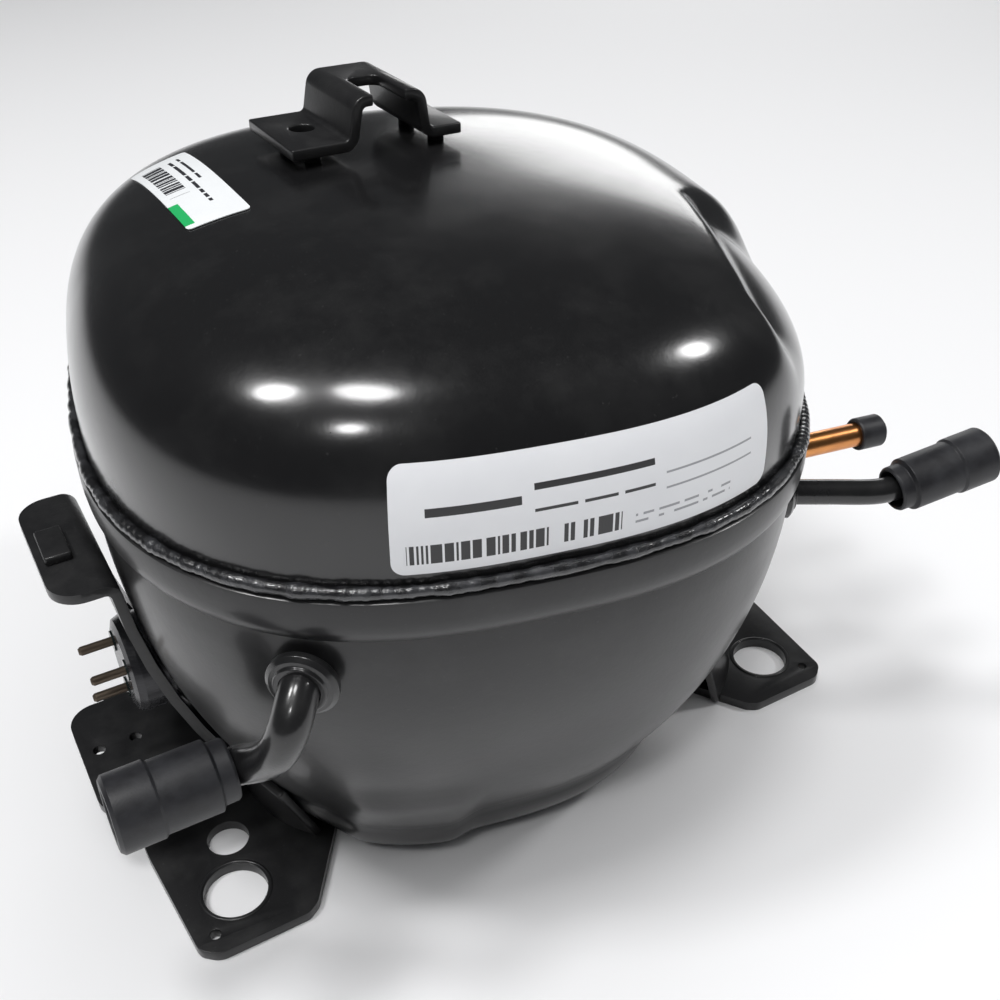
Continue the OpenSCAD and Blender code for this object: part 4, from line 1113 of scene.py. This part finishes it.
stock = film("stock_film", 48, 20, STOCK_SIZE, 1.2, on_shoulder)
ink = Finish("stock_print")
mark = Print(ink)
black_ink = either(
    mark.box(0.10, 0.62, 0.12, 0.45) * mark.bars(120, 5, 0.55),
    mark.box(0.10, 0.80, 0.58, 0.64) * mark.dashes(60, 13),
    mark.box(0.10, 0.50, 0.74, 0.79) * mark.dashes(50, 17),
)
tone = ink.blend(ink.grain(90, 3.0), (0.78, 0.80, 0.82), (0.87, 0.89, 0.90))
tone = ink.blend(black_ink, tone, (0.03, 0.03, 0.035))
tone = ink.blend(mark.box(0.70, 0.96, -0.1, 0.16), tone, (0.02, 0.42, 0.12))
stock_look = ink.surface(Base_Color=tone, Roughness=ink.grain(300) * 0.1 + 0.3, Coat_Weight=0.1)
fitted(stock, stock_look, "housing", "label_film", "stock_label")


# ---- Inner works ----------------------------------------------------------
# The spring-hung motor and pump inside the sealed shell: cast iron, stacked
# steel sheet, varnished copper and moulded nylon, all wet with oil.


def metal(name, dark, light, shiny, stretch=None, grain=600):
    """Bare metal with a machined or cast grain."""
    finish = Finish(name)
    marks = finish.grain(grain, 4.0, stretch=stretch)
    return finish.surface(
        Base_Color=finish.blend(marks, dark, light),
        Metallic=0.9,
        Roughness=marks * 0.2 + shiny,
        Normal=finish.bump(marks, 0.3, 0.0001),
    )


def plain(name, dark, light, shiny, grain=400):
    """Moulded plastic, varnish or fibre with faint colour change."""
    finish = Finish(name)
    cloud = finish.grain(grain, 3.0)
    return finish.surface(
        Base_Color=finish.blend(cloud, dark, light),
        Roughness=cloud * 0.15 + shiny,
        Normal=finish.bump(cloud, 0.2, 0.0001),
    )


SHEETS_PER_METRE = 2000
laminated = Finish("stacked_sheet")
_, _, height = laminated.split(laminated.place())
leaf = (height * SHEETS_PER_METRE) % 1.0
edge = laminated.ramp(leaf, (0.0, 0.0), (0.25, 1.0), (0.85, 1.0), (1.0, 0.0))
sheet_look = laminated.surface(
    Base_Color=laminated.blend(edge, (0.10, 0.10, 0.11), (0.34, 0.35, 0.37)),
    Metallic=0.85,
    Roughness=laminated.grain(500) * 0.2 + 0.35,
    Normal=laminated.bump(edge, 0.4, 0.0001),
)
wound = Finish("wound_copper")
strand = wound.node("ShaderNodeTexWave", {"wave_type": "RINGS", "rings_direction": "Z"},
                    {"Scale": 420.0, "Distortion": 3.0, "Detail": 2.0, "Vector": wound.place()})
winding_look = wound.surface(
    Base_Color=wound.blend(strand, (0.22, 0.07, 0.02), (0.62, 0.26, 0.10)),
    Metallic=0.7,
    Roughness=wound.grain(300) * 0.2 + 0.25,
    Normal=wound.bump(strand, 0.6, 0.0002),
)
INSIDE = {
    sheet_look: ["stator_core", "rotor_core"],
    winding_look: ["upper_winding", "lower_winding"],
    metal("cast_iron_skin", (0.09, 0.085, 0.08), (0.20, 0.19, 0.18), 0.45): [
        "cylinder_block", "counterweight", "discharge_muffler"],
    metal("ground_steel", (0.36, 0.37, 0.38), (0.56, 0.57, 0.59), 0.14, (1, 1, 12)): [
        "crankshaft", "piston", "wrist_ball", "connecting_rod"],
    metal("spring_wire", (0.30, 0.31, 0.32), (0.50, 0.51, 0.53), 0.2): [
        "spring_1", "spring_2", "spring_3", "spring_4", "oil_pickup", "ball_retainer",
        "suction_reed", "discharge_reed"],
    metal("plated_screws", (0.34, 0.34, 0.33), (0.55, 0.55, 0.53), 0.25): ["stator_bolts", "head_bolts"],
    metal("stamped_parts", (0.22, 0.22, 0.23), (0.40, 0.40, 0.41), 0.3): [
        "spring_pegs", "discharge_stop", "valve_plate"],
    metal("cast_aluminium", (0.48, 0.49, 0.51), (0.68, 0.69, 0.71), 0.35): ["rotor_rings", "cylinder_head"],
    metal("bronze", (0.42, 0.27, 0.09), (0.62, 0.42, 0.16), 0.25): ["thrust_washer", "oil_gallery_plug"],
    metal("tube_copper", (0.55, 0.24, 0.09), (0.78, 0.38, 0.15), 0.22): ["discharge_loop"],
    plain("moulded_nylon", (0.70, 0.68, 0.60), (0.80, 0.78, 0.70), 0.35): [
        "cluster_block", "spring_seats", "suction_muffler", "muffler_cover"],
    plain("slot_film", (0.72, 0.68, 0.52), (0.84, 0.80, 0.64), 0.3): ["slot_liners"],
    plain("fibre_gasket", (0.05, 0.06, 0.05), (0.11, 0.12, 0.10), 0.6, 900): [
        "valve_plate_gasket", "head_gasket"],
    plain("sleeved_wire", (0.45, 0.04, 0.03), (0.62, 0.08, 0.05), 0.4, 700): ["lead_wires"],
}
for look, nodes in INSIDE.items():
    for node in nodes:
        wear(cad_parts[node], look)
